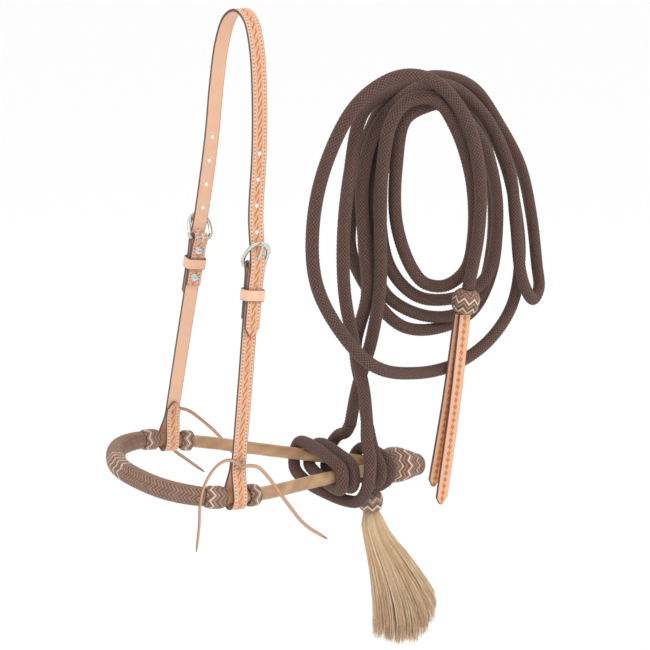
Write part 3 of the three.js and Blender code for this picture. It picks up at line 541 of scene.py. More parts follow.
def sleeve(name, node, start, end, radius_of, teeth, reach, pitch, inlays, sides):
    """A plaited sleeve on the core: an outer skin from start to end whose radius is radius_of(share along),
    turned in at both ends to an inner skin on the core. Inlays are (run, half width, reach) zigzags."""
    path, run, ways = on_core(start, end, 0.0006)
    angle = np.linspace(0, 2 * np.pi, sides, endpoint=False)[None, :]
    fold, height, string = herringbone(angle, run[:, None], teeth, reach, pitch)
    tint = string_tint(height, string)
    for place, half_width, zigzag in inlays:
        tint, height = inlaid(tint, height, run[:, None] - place + (fold - 0.5) * zigzag, half_width)
    share = (run - start) / (end - start)
    outer, _ = round_rings(path, ways, radius_of(share)[:, None] + (height - 1) * STRING_RISE, sides)
    inner, _ = round_rings(path[::-20], [way[::-20] for way in ways], SLEEVE_BORE, sides)
    rings = carried(on_bosal, np.vstack([outer, inner]))
    # The inner skin takes the same painted shade, so the turned-in ends darken where they meet the core.
    tint = np.vstack([tint, np.broadcast_to(PLAIT_PAINTED_SHADE, inner.shape)])
    piece = skin(name, rings, np.arange(len(rings)) * 0.0006, tint, plaited_string, closed=True)
    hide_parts(node)
    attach(piece, "bosal")


def rounded_barrel(radius, ends, roundness):
    """A radius along a barrel: full in the middle and rolled in towards both ends."""
    return lambda share: radius - ends * np.abs(2 * share - 1) ** roundness


front_at, rear_at = -(GROOVE + FRONT_STOP) / 2, (GROOVE + REAR_STOP) / 2
NOSE_TEETH, NOSE_REACHES, STRING_PITCH = 6, 0.0046, 0.0018
nose_start = core_at(front_at, -1) + FRONT_STOP / 2 + 0.0008
nose_end = core_at(front_at, 1) - FRONT_STOP / 2 - 0.0008
nose_rings = [(nose_start + 0.093 + k * 0.0075, 0.0007, 0.0035) for k in range(5)]
sleeve(
    "plaited_nose", "nose_button", nose_start, nose_end, rounded_barrel(NOSE_RADIUS, 0.0006, 8),
    NOSE_TEETH, NOSE_REACHES, STRING_PITCH, nose_rings, 80,
)
for hand, side in (("near", -1), ("far", 1)):
    for place, length, spot in (("front", FRONT_STOP, front_at), ("rear", REAR_STOP, rear_at)):
        middle = core_at(spot, side)
        zigzag = middle - side * length * (0.24 if place == "front" else 0.0)
        sleeve(
            f"{hand}_{place}_plaited_stop", f"{hand}_{place}_stop", middle - length / 2, middle + length / 2,
            rounded_barrel(STOP_RADIUS, 0.0022, 4), 6, 0.0048, 0.0024, [(zigzag, 0.0008, 0.0048)], 96,
        )

# ------------------------------------------------------------------ the heel knot
# A pear-shaped knot plaited over both shank ends, which keeps the mecate's turns from
# slipping off. Two pale zigzags are inlaid round its waist.

HEEL_TEETH = 10
HEEL_DROOP = 0.93
heel_profile = np.array([
    (0.0, 0.0145), (0.003, 0.0189), (0.010, 0.0220), (0.020, 0.0214), (0.030, 0.0190),
    (0.041, 0.0150), (0.048, 0.0132), (0.0508, 0.0112), (0.052, 0.0085),
])


def turned_plait(name, profile, teeth, reach, pitch, inlays, sides, turn, scale=(1.0, 1.0)):
    """A plaited piece of revolution. The profile gives (distance along, radius), and turn(points) takes
    points with the axis on X into the frame. Inlays are (distance along, half width, reach)."""
    knots = np.array([(a, r, 0.0) for a, r in profile])
    outline, run = smooth_path(knots, 0.00055)
    angle = np.linspace(0, 2 * np.pi, sides, endpoint=False)[None, :]
    fold, height, string = herringbone(angle, run[:, None], teeth, reach, pitch)
    tint = string_tint(height, string, 1.7)
    for place, half_width, zigzag in inlays:
        off = run[:, None] - np.interp(place, outline[:, 0], run) + (fold - 0.5) * zigzag
        tint, height = inlaid(tint, height, off, half_width)
    radius = outline[:, 1][:, None] + (height - 1) * STRING_RISE
    rings = np.stack([
        np.broadcast_to(outline[:, 0][:, None], radius.shape),
        radius * np.cos(angle) * scale[0], radius * np.sin(angle) * scale[1],
    ], 2)
    return skin(name, carried(turn, rings), run, tint, plaited_string)


heel = turned_plait(
    "plaited_heel_knot", heel_profile, HEEL_TEETH, 0.0062, 0.0028,
    [(0.009, 0.0006, 0.004), (0.0225, 0.0013, 0.0062), (0.037, 0.0008, 0.0062)], 160,
    lambda points: on_bosal(points + np.array([HEEL_START, 0, 0])), (1.0, HEEL_DROOP),
)
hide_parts("heel_knot")
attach(heel, "bosal")

# ------------------------------------------------------------------ the mecate's turns on the shanks
# The same rope wound on the shanks: two turns and a lap ahead, and nearly two turns hard
# against the heel knot, which start from the tassel knot below.

WRAP_RISE = CORE_RADIUS + ROPE_RADIUS + 0.0023
FRONT_WRAP_START, WRAP_PITCH, WRAP_LEAN, HEEL_WRAP_LEAN = 0.1435, 0.019, -0.0035, 0.003
FRONT_WRAP_LENGTH, HEEL_WRAP_LENGTH = 0.70, 0.245


def turns_round(start, end, u_start, u_end, lean):
    """Turns round both shanks. A turn count of 0 is on top, 0.25 on the near side, 0.5 below and 0.75 on the
    far side; the rope stands off the shanks by one rise and leans towards the heel on the near side."""
    count = int(round(abs(end - start) * 12))
    share = np.linspace(0, 1, count + 1)
    turn = (start + (end - start) * share) * 2 * np.pi
    u = u_start + (u_end - u_start) * share + lean * np.sin(turn)
    far_side = core_path[:, 1] > 0
    half = np.interp(u, core_path[far_side, 0][-500:], core_path[far_side, 1][-500:])
    w = -(half * np.clip(1.9 * np.sin(turn), -1, 1) + WRAP_RISE * np.sin(turn))
    return [tuple(p) for p in np.stack([u, w, WRAP_RISE * np.cos(turn)], 1)]


front_lap = [
    (0.1753, -0.037, 0.0639), (0.176, -0.043, 0.045), (0.178, -0.052, 0.028), (0.179, -0.056, 0.010),
    (0.181, -0.053, -0.010), (0.182, -0.041, -0.027), (0.177, -0.022, -0.0335), (0.166, 0, -0.0335),
    (0.154, 0.022, -0.030), (0.146, 0.044, -0.020),
]
front_turns = turns_round(0.78, 2.75, FRONT_WRAP_START, FRONT_WRAP_START + 2 * WRAP_PITCH, WRAP_LEAN)
front_rise = [(0.184, 0.0355, 0.013), (0.1845, 0.026, 0.027), (0.1845, 0.013, 0.035), (0.1818, 0.003, 0.0496)]
heel_start = [(0.2155, -0.0115, -0.022), (0.220, -0.0185, -0.019)]
heel_turns = turns_round(0.36, -0.86, HEEL_START - 0.011, HEEL_START - 0.029, HEEL_WRAP_LEAN)
heel_rise = [(0.209, -0.015, 0.021), (0.207, -0.008, 0.031), (0.2041, -0.0005, 0.0462)]
ALONG_THE_SHANKS = np.array([np.cos(BOSAL_PITCH), 0, -np.sin(BOSAL_PITCH)])
for name, node, route, length in (
    ("mecate_front_turns", "mecate_front_wraps", front_lap + front_turns + front_rise, FRONT_WRAP_LENGTH),
    ("mecate_heel_turns", "mecate_heel_wraps", heel_start + heel_turns + heel_rise, HEEL_WRAP_LENGTH),
):
    route = on_bosal(route)
    turns, turns_path = rope(name, route, ALONG_THE_SHANKS)
    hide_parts(node)
    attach(turns, "bosal")

# ------------------------------------------------------------------ the tassel and its knot
# Pale horsehair bound into a plaited ball knot at the rope's end. The hair hangs in locks,
# swept a little towards the heel, and its ends are cut unevenly.

TASSEL_KNOT_AT = np.array([0.1491, -0.0095, -0.5556])
TASSEL_KNOT_RADIUS, TASSEL_KNOT_HEIGHT = 0.0145, 0.024
HAIR_COUNT, HAIR_ROWS, LOCK_COUNT, HAIR_RADIUS = 3900, 9, 90, 0.00042
HAIR_PALE, HAIR_GOLD, HAIR_BROWN = linear("F6DFC0"), linear("DEB68A"), linear("BC9265")


def ball_profile(radius, height):
    """The outline of a ball knot as (distance along, radius), measured from its start."""
    shares = [(0, 0.55), (0.04, 0.66), (0.16, 0.88), (0.5, 1.0), (0.84, 0.88), (0.96, 0.66), (1, 0.55)]
    return [(along * height, radius * share) for along, share in shares]


def axis_turn(start, direction):
    """Takes points whose axis is X to a start point and a direction."""
    way = np.asarray(direction, float) / np.linalg.norm(direction)
    side = np.cross(way, [0.0, 1.0, 0.0])
    side /= np.linalg.norm(side)
    turn = np.stack([way, side, np.cross(way, side)])
    return lambda points: points @ turn + start


tassel_top = TASSEL_KNOT_AT + np.array([0, 0, TASSEL_KNOT_HEIGHT / 2])
tassel_knot = turned_plait(
    "plaited_tassel_knot", ball_profile(TASSEL_KNOT_RADIUS, TASSEL_KNOT_HEIGHT), 8, 0.0055, 0.0026,
    [(0.006, 0.0006, 0.0055), (0.0155, 0.0011, 0.0055)], 128, axis_turn(tassel_top, (0, 0, -1)),
)
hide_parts("tassel_knot")
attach(tassel_knot, "bosal")

hair_fall = np.array([0, 0.010, 0.028, 0.045, 0.062, 0.080, 0.098, 0.131, 0.149, 0.166, 0.178])
hair_drift = np.array([0, 0.0012, 0.006, 0.0135, 0.022, 0.030, 0.038, 0.050, 0.053, 0.053, 0.051])
hair_spread = np.array([0.0078, 0.0128, 0.016, 0.0195, 0.0245, 0.0292, 0.034, 0.042, 0.0445, 0.0455, 0.046])


def tassel_hair():
    """Tapered three-sided hairs. Each keeps its place in the bundle's section, as a share of the spread and
    an angle, while the section falls, drifts and widens. Towards the ends it is drawn to the middle of its
    lock."""
    random = np.random.default_rng(7)
    share, angle = np.sqrt(random.random(HAIR_COUNT)), random.random(HAIR_COUNT) * 2 * np.pi
    lock_share, lock_angle = np.sqrt(random.random(LOCK_COUNT)) * 0.96, random.random(LOCK_COUNT) * 2 * np.pi
    spot = np.stack([share * np.cos(angle), share * np.sin(angle)], 1)
    lock_spot = np.stack([lock_share * np.cos(lock_angle), lock_share * np.sin(lock_angle)], 1)
    lock = np.linalg.norm(spot[:, None] - lock_spot[None], axis=2).argmin(1)
    t = np.linspace(0, 1, HAIR_ROWS)[None, :, None]
    length = 0.166 + 0.010 * random.random(HAIR_COUNT) - 0.006 * share ** 3 + 0.004 * np.sin(lock * 2.4)
    length -= 0.036 * np.clip(spot[:, 0], 0, 1) ** 1.3
    fall = np.clip(length, 0.12, 0.177)[:, None] * t[:, :, 0]
    drawn = spot[:, None] + (lock_spot[lock] - spot)[:, None] * 0.3 * t ** 1.5
    ripples = t * (5 + 4 * random.random((HAIR_COUNT, 1, 1)))
    drawn = drawn + 0.03 * np.sin(ripples + random.random((HAIR_COUNT, 1, 2)) * 6) * t
    spread = np.interp(fall, hair_fall, hair_spread)[:, :, None]
    drift = np.interp(fall, hair_fall, hair_drift)
    root = TASSEL_KNOT_AT - np.array([0, 0, TASSEL_KNOT_HEIGHT / 2 - 0.003])
    middle = np.stack([
        root[0] + drift + drawn[:, :, 0] * spread[:, :, 0],
        root[1] + drawn[:, :, 1] * spread[:, :, 0] * 0.7,
        root[2] - fall * 1.016,
    ], 2)
    width = (HAIR_RADIUS * (1 - 0.55 * t ** 2))[..., None]
    corner = np.arange(3) * 2 * np.pi / 3
    corner = (corner[None, :] + random.random(HAIR_COUNT)[:, None] * 6)[:, None, :]
    around = np.stack([np.cos(corner), np.sin(corner), np.zeros_like(corner)], 3)
    points = middle[:, :, None] + around * width
    first = (np.arange(HAIR_COUNT * HAIR_ROWS).reshape(HAIR_COUNT, HAIR_ROWS)[:, :-1] * 3)[:, :, None]
    side, beside = np.arange(3)[None, None], (np.arange(3)[None, None] + 1) % 3
    quads = np.stack([first + side, first + 3 + side, first + 3 + beside, first + beside], 3).reshape(-1, 4)
    ends = np.arange(HAIR_COUNT)[:, None] * HAIR_ROWS * 3
    tips = np.concatenate([ends + np.array([0, 1, 2]), ends + (HAIR_ROWS - 1) * 3 + np.array([0, 2, 1])])
    shade = 0.5 + 0.35 * np.sin(lock * 1.7) + 0.3 * (random.random(HAIR_COUNT) - 0.5)
    shade = np.clip(shade[:, None, None] + 0.1 * t[..., 0][..., None] - 0.05, 0, 1)[..., None]
    tint = HAIR_GOLD + (HAIR_PALE - HAIR_GOLD) * shade
    brown = (random.random(HAIR_COUNT) < 0.14)[:, None, None, None]
    tint = np.where(brown, HAIR_BROWN + (HAIR_GOLD - HAIR_BROWN) * shade, tint)
    tint = np.broadcast_to(tint, points.shape)
    return new_piece("horsehair_tassel", points.reshape(-1, 3), [quads, tips], tint.reshape(-1, 3), horsehair)


horsehair = tint_finish("horsehair", 0.45, 2200.0, 0.0001, 0.18, coat=0.1)
tassel = tassel_hair()
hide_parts("tassel")
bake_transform(tassel)

# ------------------------------------------------------------------ the popper
# A strap of pinkish harness leather, doubled through the rope's end and closed by a plaited
# ball knot. Its two tails hang one behind the other, stamped with a chain of small stars.

POPPER_KNOT_RADIUS, POPPER_KNOT_HEIGHT, POPPER_GAP = 0.0155, 0.027, 0.001
POPPER_WIDTH, POPPER_THICKNESS, TIP_LENGTH = 0.017, 0.003, 0.009
POPPER_TAN, POPPER_BAND, STAR_BROWN = linear("EDB594"), linear("E5A877"), linear("A5652F")
CUT_EDGE, FLESH_SIDE = linear("5F463F"), linear("F0C1A3")
STAR_PITCH = 0.0079
TOUCH_GAP = 0.00035

lead_out = np.array(lead_route[0]) - np.array(lead_route[1])
lead_out /= np.linalg.norm(lead_out)
knot_start = np.array(lead_route[0]) + lead_out * TOUCH_GAP
popper_knot = turned_plait(
    "plaited_popper_knot", ball_profile(POPPER_KNOT_RADIUS, POPPER_KNOT_HEIGHT), 8, 0.0062, 0.0028,
    [(0.0105, 0.0011, 0.0062), (0.0215, 0.0009, 0.0062)], 128, axis_turn(knot_start, lead_out),
)
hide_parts("popper_knot")
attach(popper_knot, "hanger")


def strap_section(thickness, grain_points=34, bevel=0.0009):
    """The outline of a strap's section, from its grain side round to its flesh side: the share of the half
    width, the offsets across and through, and 0 for grain, 1 for edge, 2 for flesh."""
    half = thickness / 2
    corner = np.linspace(0, np.pi / 2, 4)[1:-1]
    across = np.linspace(-1, 1, grain_points)
    back = np.linspace(1, -1, 9)
    bent_out = bevel * np.sin(corner)
    bent_up = bevel * (1 - np.cos(corner))
    share = np.concatenate([across, np.ones(6), back, -np.ones(6)])
    rounded = np.concatenate([bent_out, [bevel, bevel], bent_out[::-1]])
    out = np.concatenate([np.zeros(grain_points), rounded, np.zeros(9), -rounded])
    low, high = -half + bent_up, half - bent_up
    rising = np.concatenate([low, [-half + bevel, half - bevel], high[::-1]])
    through = np.concatenate([np.full(grain_points, -half), rising, np.full(9, half), rising[::-1]])
    part = np.concatenate([np.zeros(grain_points), np.ones(6), np.full(9, 2), np.ones(6)])
    return share, out, through, part, bevel


def strap_rings(path, run, ways, width, thickness, pattern):
    """A strap's section carried along a path. The pattern gives, from the distance across and along, how deep
    the grain side is pressed and its colour."""
    share, out, through, part, bevel = strap_section(thickness)
    half = np.broadcast_to(np.asarray(width) / 2, run.shape)[:, None] - bevel
    across = share[None] * half + out[None]
    depth, tint = pattern(across, run[:, None])
    grain = part == 0
    through = np.broadcast_to(through, across.shape) + np.where(grain, depth, 0)
    fibres = 0.85 + 0.3 * np.sin(run * 2100 + 3 * np.sin(run * 310)) ** 2
    tint = np.where(grain[None, :, None], tint, CUT_EDGE * fibres[:, None, None])
    tint = np.where((part == 2)[None, :, None], FLESH_SIDE, tint)
    sideways = path[:, None] + ways[1][:, None] * across[:, :, None]
    return sideways + ways[2][:, None] * through[:, :, None], tint


def pointed(run, width, tips):
    """The width along a strap, narrowed to a blunt point over the tip length at the ends named in tips."""
    end = np.minimum(run if "start" in tips else run[-1], run[-1] - run if "end" in tips else run[-1])
    return width * (0.2 + 0.8 * np.clip(end / TIP_LENGTH, 0, 1) ** 0.85)


def star_chain(across, run):
    """Four-pointed stars in a row down a warm band, each a dent where |a|^0.7 + |s|^0.7 is small."""
    step = (run / STAR_PITCH) % 1 - 0.5
    slanted = across + step * 0.0016
    star = (np.abs(slanted) / 0.0038) ** 0.7 + (np.abs(step) / 0.56) ** 0.7
    pressed = np.clip((1.12 - star) / 0.22, 0, 1)
    heart = np.clip((0.55 - star) / 0.2, 0, 1)
    band = np.exp(-(across / 0.0036) ** 4)
    rim = np.exp(-((np.abs(across) - (POPPER_WIDTH / 2 - 0.0014)) / 0.0003) ** 2)
    tint = mixed(POPPER_TAN, POPPER_BAND, band * 0.8)
    tint = mixed(tint, STAR_BROWN, np.clip(pressed * 0.8 - heart * 0.45 + rim * 0.12, 0, 1))
    return 0.0004 * pressed - 0.0003 * heart + 0.0002 * rim, tint


popper_leather = tint_finish("popper_leather", 0.5, 900.0, 0.00025, 0.12)
POPPER_FACE = np.array([0.12, -1.0, 0.0]) / np.linalg.norm([0.12, -1.0, 0.0])
popper_top = knot_start + lead_out * (POPPER_KNOT_HEIGHT + POPPER_GAP)
for name, body, start, way, length in (
    ("front", "popper_front", popper_top + np.array([0, -0.0024, 0]), (-0.135, -0.034, -0.99), 0.224),
    ("rear", "popper_rear", popper_top + np.array([-0.003, 0.0024, 0]), (-0.16, -0.022, -0.985), 0.204),
):
    way = np.array(way) / np.linalg.norm(way)
    end = start + way * length
    path, run = smooth_path([start, (start + end) / 2 + POPPER_FACE * 0.002, end], 0.0007)
    ways = directions(path, np.cross(way, POPPER_FACE))
    width = pointed(run, POPPER_WIDTH, "end")
    rings, tint = strap_rings(path, run, ways, width, POPPER_THICKNESS, star_chain)
    popper = skin(f"popper_{name}_tail", rings, run, tint, popper_leather)
    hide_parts(f"popper_{name}_strap")
    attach(popper, body)

# ------------------------------------------------------------------ the cheek straps
# Harness leather 16 mm wide and 3 mm thick, skirted and stamped. Each is folded back over its
# buckle bar above, and round the bosal below, with its grain side outwards all the way.

STRAP_WIDTH, STRAP_THICKNESS, PLY_GAP = 0.016, 0.003, 0.0004
LAYER = (STRAP_THICKNESS + PLY_GAP) / 2
BAR = np.array([-0.023, 0.063, -0.237])
CHEEK_DROP, CHEEK_FORWARD = 0.232, 0.036
CHEEK_SPLAY = HALF_WIDTH - BAR[1]
CHEEK_LENGTH = float(np.sqrt(CHEEK_DROP ** 2 + CHEEK_FORWARD ** 2 + CHEEK_SPLAY ** 2))
CHEEK_LEAN = np.arctan2(CHEEK_FORWARD, CHEEK_DROP)
BAR_RADIUS = 0.002
FOLD_RADIUS = BAR_RADIUS + 0.0003 + STRAP_THICKNESS / 2
LOOP_RADIUS = CORE_RADIUS + 0.003 + STRAP_THICKNESS / 2
FOLD_LENGTH, TURN_UP, LACE_RISE = 0.053, 0.058, 0.035
SADDLE_TAN, STAMPED_BAND, STAMP_BROWN = linear("EFC1A2"), linear("E4A67A"), linear("A2572A")
STITCH_BROWN = linear("6B4430")
STAMP_PITCH, STITCH_PITCH = 0.0085, 0.0036
saddle_leather = tint_finish("saddle_leather", 0.52, 900.0, 0.00025, 0.12)


def on_cheek(side):
    """Takes points of a cheek's own frame (down the strap is -Z, outwards is Y times side) into the frame:
    splayed about X, leant about Y, then moved to the buckle bar."""
    splay = np.arcsin(side * CHEEK_SPLAY / CHEEK_LENGTH)
    c, s, cx, sx = np.cos(CHEEK_LEAN), np.sin(CHEEK_LEAN), np.cos(splay), np.sin(splay)
    turn = np.array([[c, 0, s], [0, 1, 0], [-s, 0, c]]) @ np.array([[1, 0, 0], [0, cx, -sx], [0, sx, cx]])
    return lambda points: np.asarray(points, float) @ turn.T + BAR * np.array([1, side, 1])


def slanted_stamps(across, run):
    """A running chain of slanting stamps down the middle, a row of small stitch holes inside each edge, and a
    creased border. Each stamp is a lens round a short slanting line, pressed deepest along that line."""
    pressed = np.zeros(np.broadcast(across, run).shape)
    for neighbour in (-1, 0, 1):
        step = run - (np.floor(run / STAMP_PITCH) + 0.5 + neighbour) * STAMP_PITCH
        lean = across - 0.4 * step - 0.0005 * np.sin(step * 900)
        reach = np.clip(1 - (step / 0.0068) ** 2, 0, 1)
        pressed = np.maximum(pressed, reach * np.exp(-(lean / 0.00085) ** 2))
    band = np.exp(-(across / 0.0034) ** 4)
    scalloped = 0.0034 + 0.0005 * np.cos(2 * np.pi * run / STAMP_PITCH)
    scallop = np.exp(-((np.abs(across) - scalloped) / 0.0004) ** 2)
    along = (run / STITCH_PITCH) % 1 - 0.5
    away = np.hypot(np.abs(across) - (STRAP_WIDTH / 2 - 0.0027), along * STITCH_PITCH)
    stitch = np.clip((0.00095 - away) / 0.0003, 0, 1)
    border = np.exp(-((np.abs(across) - (STRAP_WIDTH / 2 - 0.0013)) / 0.0003) ** 2)
    tint = mixed(SADDLE_TAN, STAMPED_BAND, band * 0.75)
    tint = mixed(tint, STAMP_BROWN, np.clip(pressed * 0.95 + scallop * 0.4 + border * 0.2, 0, 1))
    tint = mixed(tint, STITCH_BROWN, stitch * 0.85)
    return 0.0004 * pressed + 0.00015 * scallop + 0.0004 * stitch + 0.0002 * border, tint


def punched(piece, cutters):
    """Cuts holes through a piece with closed cutter meshes, given as (points, faces) pairs."""
    points, quads, start = [], [], 0
    for cutter_points, cutter_faces in cutters:
        points.append(cutter_points)
        quads.append([[index + start for index in face] for face in cutter_faces])
        start += len(cutter_points)
    mesh = bpy.data.meshes.new("cutter")
    mesh.from_pydata(np.vstack(points).tolist(), [], [face for group in quads for face in group])
    paint = np.tile(np.append(CUT_EDGE, 1.0), (start, 1)).astype(np.float32)
    mesh.attributes.new("tint", "FLOAT_COLOR", "POINT").data.foreach_set("color", paint.ravel())
    mesh.materials.append(piece.data.materials[0])
    cutter = bpy.data.objects.new("cutter", mesh)
    scene.collection.objects.link(cutter)
    cut = piece.modifiers.new("holes", "BOOLEAN")
    cut.operation, cut.solver, cut.object = "DIFFERENCE", "EXACT", cutter
    bpy.context.view_layer.update()
    whole = bpy.data.meshes.new_from_object(piece.evaluated_get(bpy.context.evaluated_depsgraph_get()))
    piece.modifiers.clear()
    old = piece.data
    piece.data = whole
    whole.name = old.name
    bpy.data.meshes.remove(old)
    bpy.data.objects.remove(cutter)
    return piece


def punch(middle, way, radii, length, sides=20, across=(1.0, 0.0, 0.0)):
    """A closed oval cutter about a middle, along a way, with half sizes (across, aside)."""
    way = np.asarray(way, float) / np.linalg.norm(way)
    first = np.asarray(across, float) - np.dot(across, way) * way
    first /= np.linalg.norm(first)
    angle = np.linspace(0, 2 * np.pi, sides, endpoint=False)[:, None]
    ring = first * radii[0] * np.cos(angle) + np.cross(way, first) * radii[1] * np.sin(angle)
    points = np.vstack([middle + ring - way * length / 2, middle + ring + way * length / 2])
    faces = [[i, (i + 1) % sides, sides + (i + 1) % sides, sides + i] for i in range(sides)]
    return points, faces + [list(range(sides))[::-1], list(range(sides, 2 * sides))]


def cheek_strap(hand, side):
    """Both folds of a cheek strap, from the end behind the buckle up round the bar, down the front, round the
    bosal and up again inside to a pointed end."""
    points = [(0, -side * LAYER, -FOLD_LENGTH), (0, -side * LAYER, -FOLD_LENGTH / 2),
              (0, -side * (LAYER + 0.0001), -FOLD_RADIUS * 2.4)]
    for angle in np.radians([200, 165, 130, 90, 50, 15, -20]):
        points.append((0, side * FOLD_RADIUS * np.cos(angle), FOLD_RADIUS * np.sin(angle)))
    points += [(0, side * (LAYER + 0.0001), -FOLD_RADIUS * 2.4), (0, side * LAYER, -CHEEK_LENGTH / 2),
               (0, side * LAYER, -CHEEK_LENGTH + LACE_RISE + 0.012),
               (0, side * (LAYER + 0.0005), -CHEEK_LENGTH + LOOP_RADIUS * 2.5)]
    for angle in np.radians([25, -10, -50, -90, -130, -170, -205]):
        points.append((0, side * LOOP_RADIUS * np.cos(angle), -CHEEK_LENGTH + LOOP_RADIUS * np.sin(angle)))
    points += [(0, -side * (LAYER + 0.0005), -CHEEK_LENGTH + LOOP_RADIUS * 2.5),
               (0, -side * LAYER, -CHEEK_LENGTH + LACE_RISE + 0.004),
               (0, -side * LAYER, -CHEEK_LENGTH - LOOP_RADIUS + TURN_UP)]
    path, run = smooth_path(points, 0.0006)
    ways = directions(path, np.array([side, 0.0, 0.0]))
    width = pointed(run, STRAP_WIDTH, "end")
    rings, tint = strap_rings(path, run, ways, width, STRAP_THICKNESS, slanted_stamps)
    place = on_cheek(side)
    strap = skin(f"{hand}_cheek_leather", carried(place, rings), run, tint, saddle_leather)
    down = place([[0, 0, -1]])[0] - place([[0, 0, 0]])[0]
    outwards = place([[0, 1, 0]])[0] - place([[0, 0, 0]])[0]
    slots = [
        punch(place([[0, 0, 0.0015]])[0], outwards, (0.0062, 0.0024), 0.016, across=down),
        punch(place([[0, 0, -CHEEK_LENGTH + LACE_RISE]])[0], outwards, (0.0036, 0.0022), 0.02, across=down),
    ]
    return punched(strap, slots)


for hand, side in (("near", -1), ("far", 1)):
    cheek = cheek_strap(hand, side)
    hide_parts(f"{hand}_cheek_strap")
    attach(cheek, "hanger")

# ------------------------------------------------------------------ the crown strap
# One longer strap of the same stamped leather over the poll. Both ends are pointed, lie on
# the cheeks under the keepers, and are punched with holes an inch apart for the buckles.

TAIL_LIFT = LAYER + STRAP_THICKNESS + 0.001 + 2 * TOUCH_GAP
CROWN_TAIL, FIRST_HOLE, HOLE_SPACING, HOLE_RADIUS, HOLE_COUNT = 0.070, 0.008, 0.0254, 0.0017, 5
arch_shares = [
    (0.78, 0.937, 0.802), (0.435, 0.841, 0.536), (0.26, 0.754, 0.316),
    (0.13, 0.603, 0.135), (0.043, 0.365, 0.03),
]


def crown_half(side):
    """From one tail up to the top, as points in the frame."""
    tail = [
        (0, TAIL_LIFT, -CROWN_TAIL), (0, TAIL_LIFT, -CROWN_TAIL * 0.6), (0, TAIL_LIFT, -CROWN_TAIL * 0.25),
        (0, FOLD_RADIUS + STRAP_THICKNESS + 3 * TOUCH_GAP, -0.001),
        (0, LAYER + STRAP_THICKNESS + TOUCH_GAP, 0.014),
    ]
    low = on_cheek(side)(np.array(tail) * np.array([1, side, 1]))
    high = np.array(arch_shares) * BAR * np.array([1, side, 1])
    return np.vstack([low, high])


crown_points = np.vstack([crown_half(-1), [[0, 0, STRAP_THICKNESS / 2]], crown_half(1)[::-1]])
crown_path, crown_run = smooth_path(crown_points, 0.0007)
depth = np.clip(crown_path[:, 2] / BAR[2], 0, 1)[:, None]
leant_across = np.array([np.cos(CHEEK_LEAN), 0, -np.sin(CHEEK_LEAN)])
crown_across = np.array([1.0, 0, 0]) * (1 - depth) + leant_across * depth
rings, tint = strap_rings(
    crown_path, crown_run, directions(crown_path, crown_across), pointed(crown_run, STRAP_WIDTH, "start end"),
    STRAP_THICKNESS, slanted_stamps,
)
crown = skin("crown_leather", rings, crown_run, tint, saddle_leather)
holes = []
for side in (-1, 1):
    for count in range(HOLE_COUNT):
        height = on_cheek(side)([[0, 0, FIRST_HOLE + count * HOLE_SPACING]])[0][2]
        nearest = np.where(np.sign(crown_path[:, 1]) == side, np.abs(crown_path[:, 2] - height), 1.0).argmin()
        middle, slope = crown_path[nearest], crown_path[nearest + 2] - crown_path[nearest - 2]
        holes.append(punch(middle, np.cross(slope, crown_across[nearest]), (HOLE_RADIUS, HOLE_RADIUS), 0.012))
crown = punched(crown, holes)
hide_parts("crown_strap")
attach(crown, "hanger")

# ------------------------------------------------------------------ the buckles
# Cast horseshoe buckles in polished nickel plate: a straight bar in the strap's fold, an arch
# that stands over the crown strap, and a loose tongue hooked round the bar.

FRAME_WIRE, FRAME_RISE, FRAME_SIDE_GAP, ARCH_CLEARANCE = 0.002, 0.022, 0.0012, 0.002
FRAME_FLATNESS = 0.92
TONGUE_RADIUS, TONGUE_PAST, TONGUE_END, EYE_PLAY = 0.0014, 0.003, 0.0012, 0.00025
ARM_HALF = STRAP_WIDTH / 2 + FRAME_SIDE_GAP + FRAME_WIRE
FRAME_BEND = FOLD_RADIUS + STRAP_THICKNESS / 2
ARCH_HEIGHT = 2 * LAYER + STRAP_THICKNESS + FRAME_WIRE + ARCH_CLEARANCE
FRAME_SLOPE = ARCH_HEIGHT / (FRAME_RISE - FRAME_BEND)
ARCH_TOP = 1.02 * FRAME_RISE
ARCH_OUTSIDE = FRAME_SLOPE * (ARCH_TOP - FRAME_BEND) + FRAME_WIRE * np.hypot(1, FRAME_SLOPE)
TONGUE_REST = ARCH_OUTSIDE + TONGUE_RADIUS + TOUCH_GAP


def nickel_finish():
    """Polished nickel plate: mirror-bright, with fine rubbing marks that blur it here and there."""
    material, tree, shader = finish_of("nickel_plate", "D6D4D0", 0.16, 1.0)
    marks = noise_node(tree, 700.0, 5.0, stretch=(1, 1, 5))
    blur = tree.nodes.new("ShaderNodeMapRange")
    blur.inputs["To Min"].default_value, blur.inputs["To Max"].default_value = 0.1, 0.32
    tree.links.new(marks, blur.inputs["Value"])
    tree.links.new(blur.outputs[0], shader.inputs["Roughness"])
    bump_node(tree, shader, marks, 0.00005, 0.4)
    return material


nickel_plate = nickel_finish()
NICKEL = linear("D6D4D0")


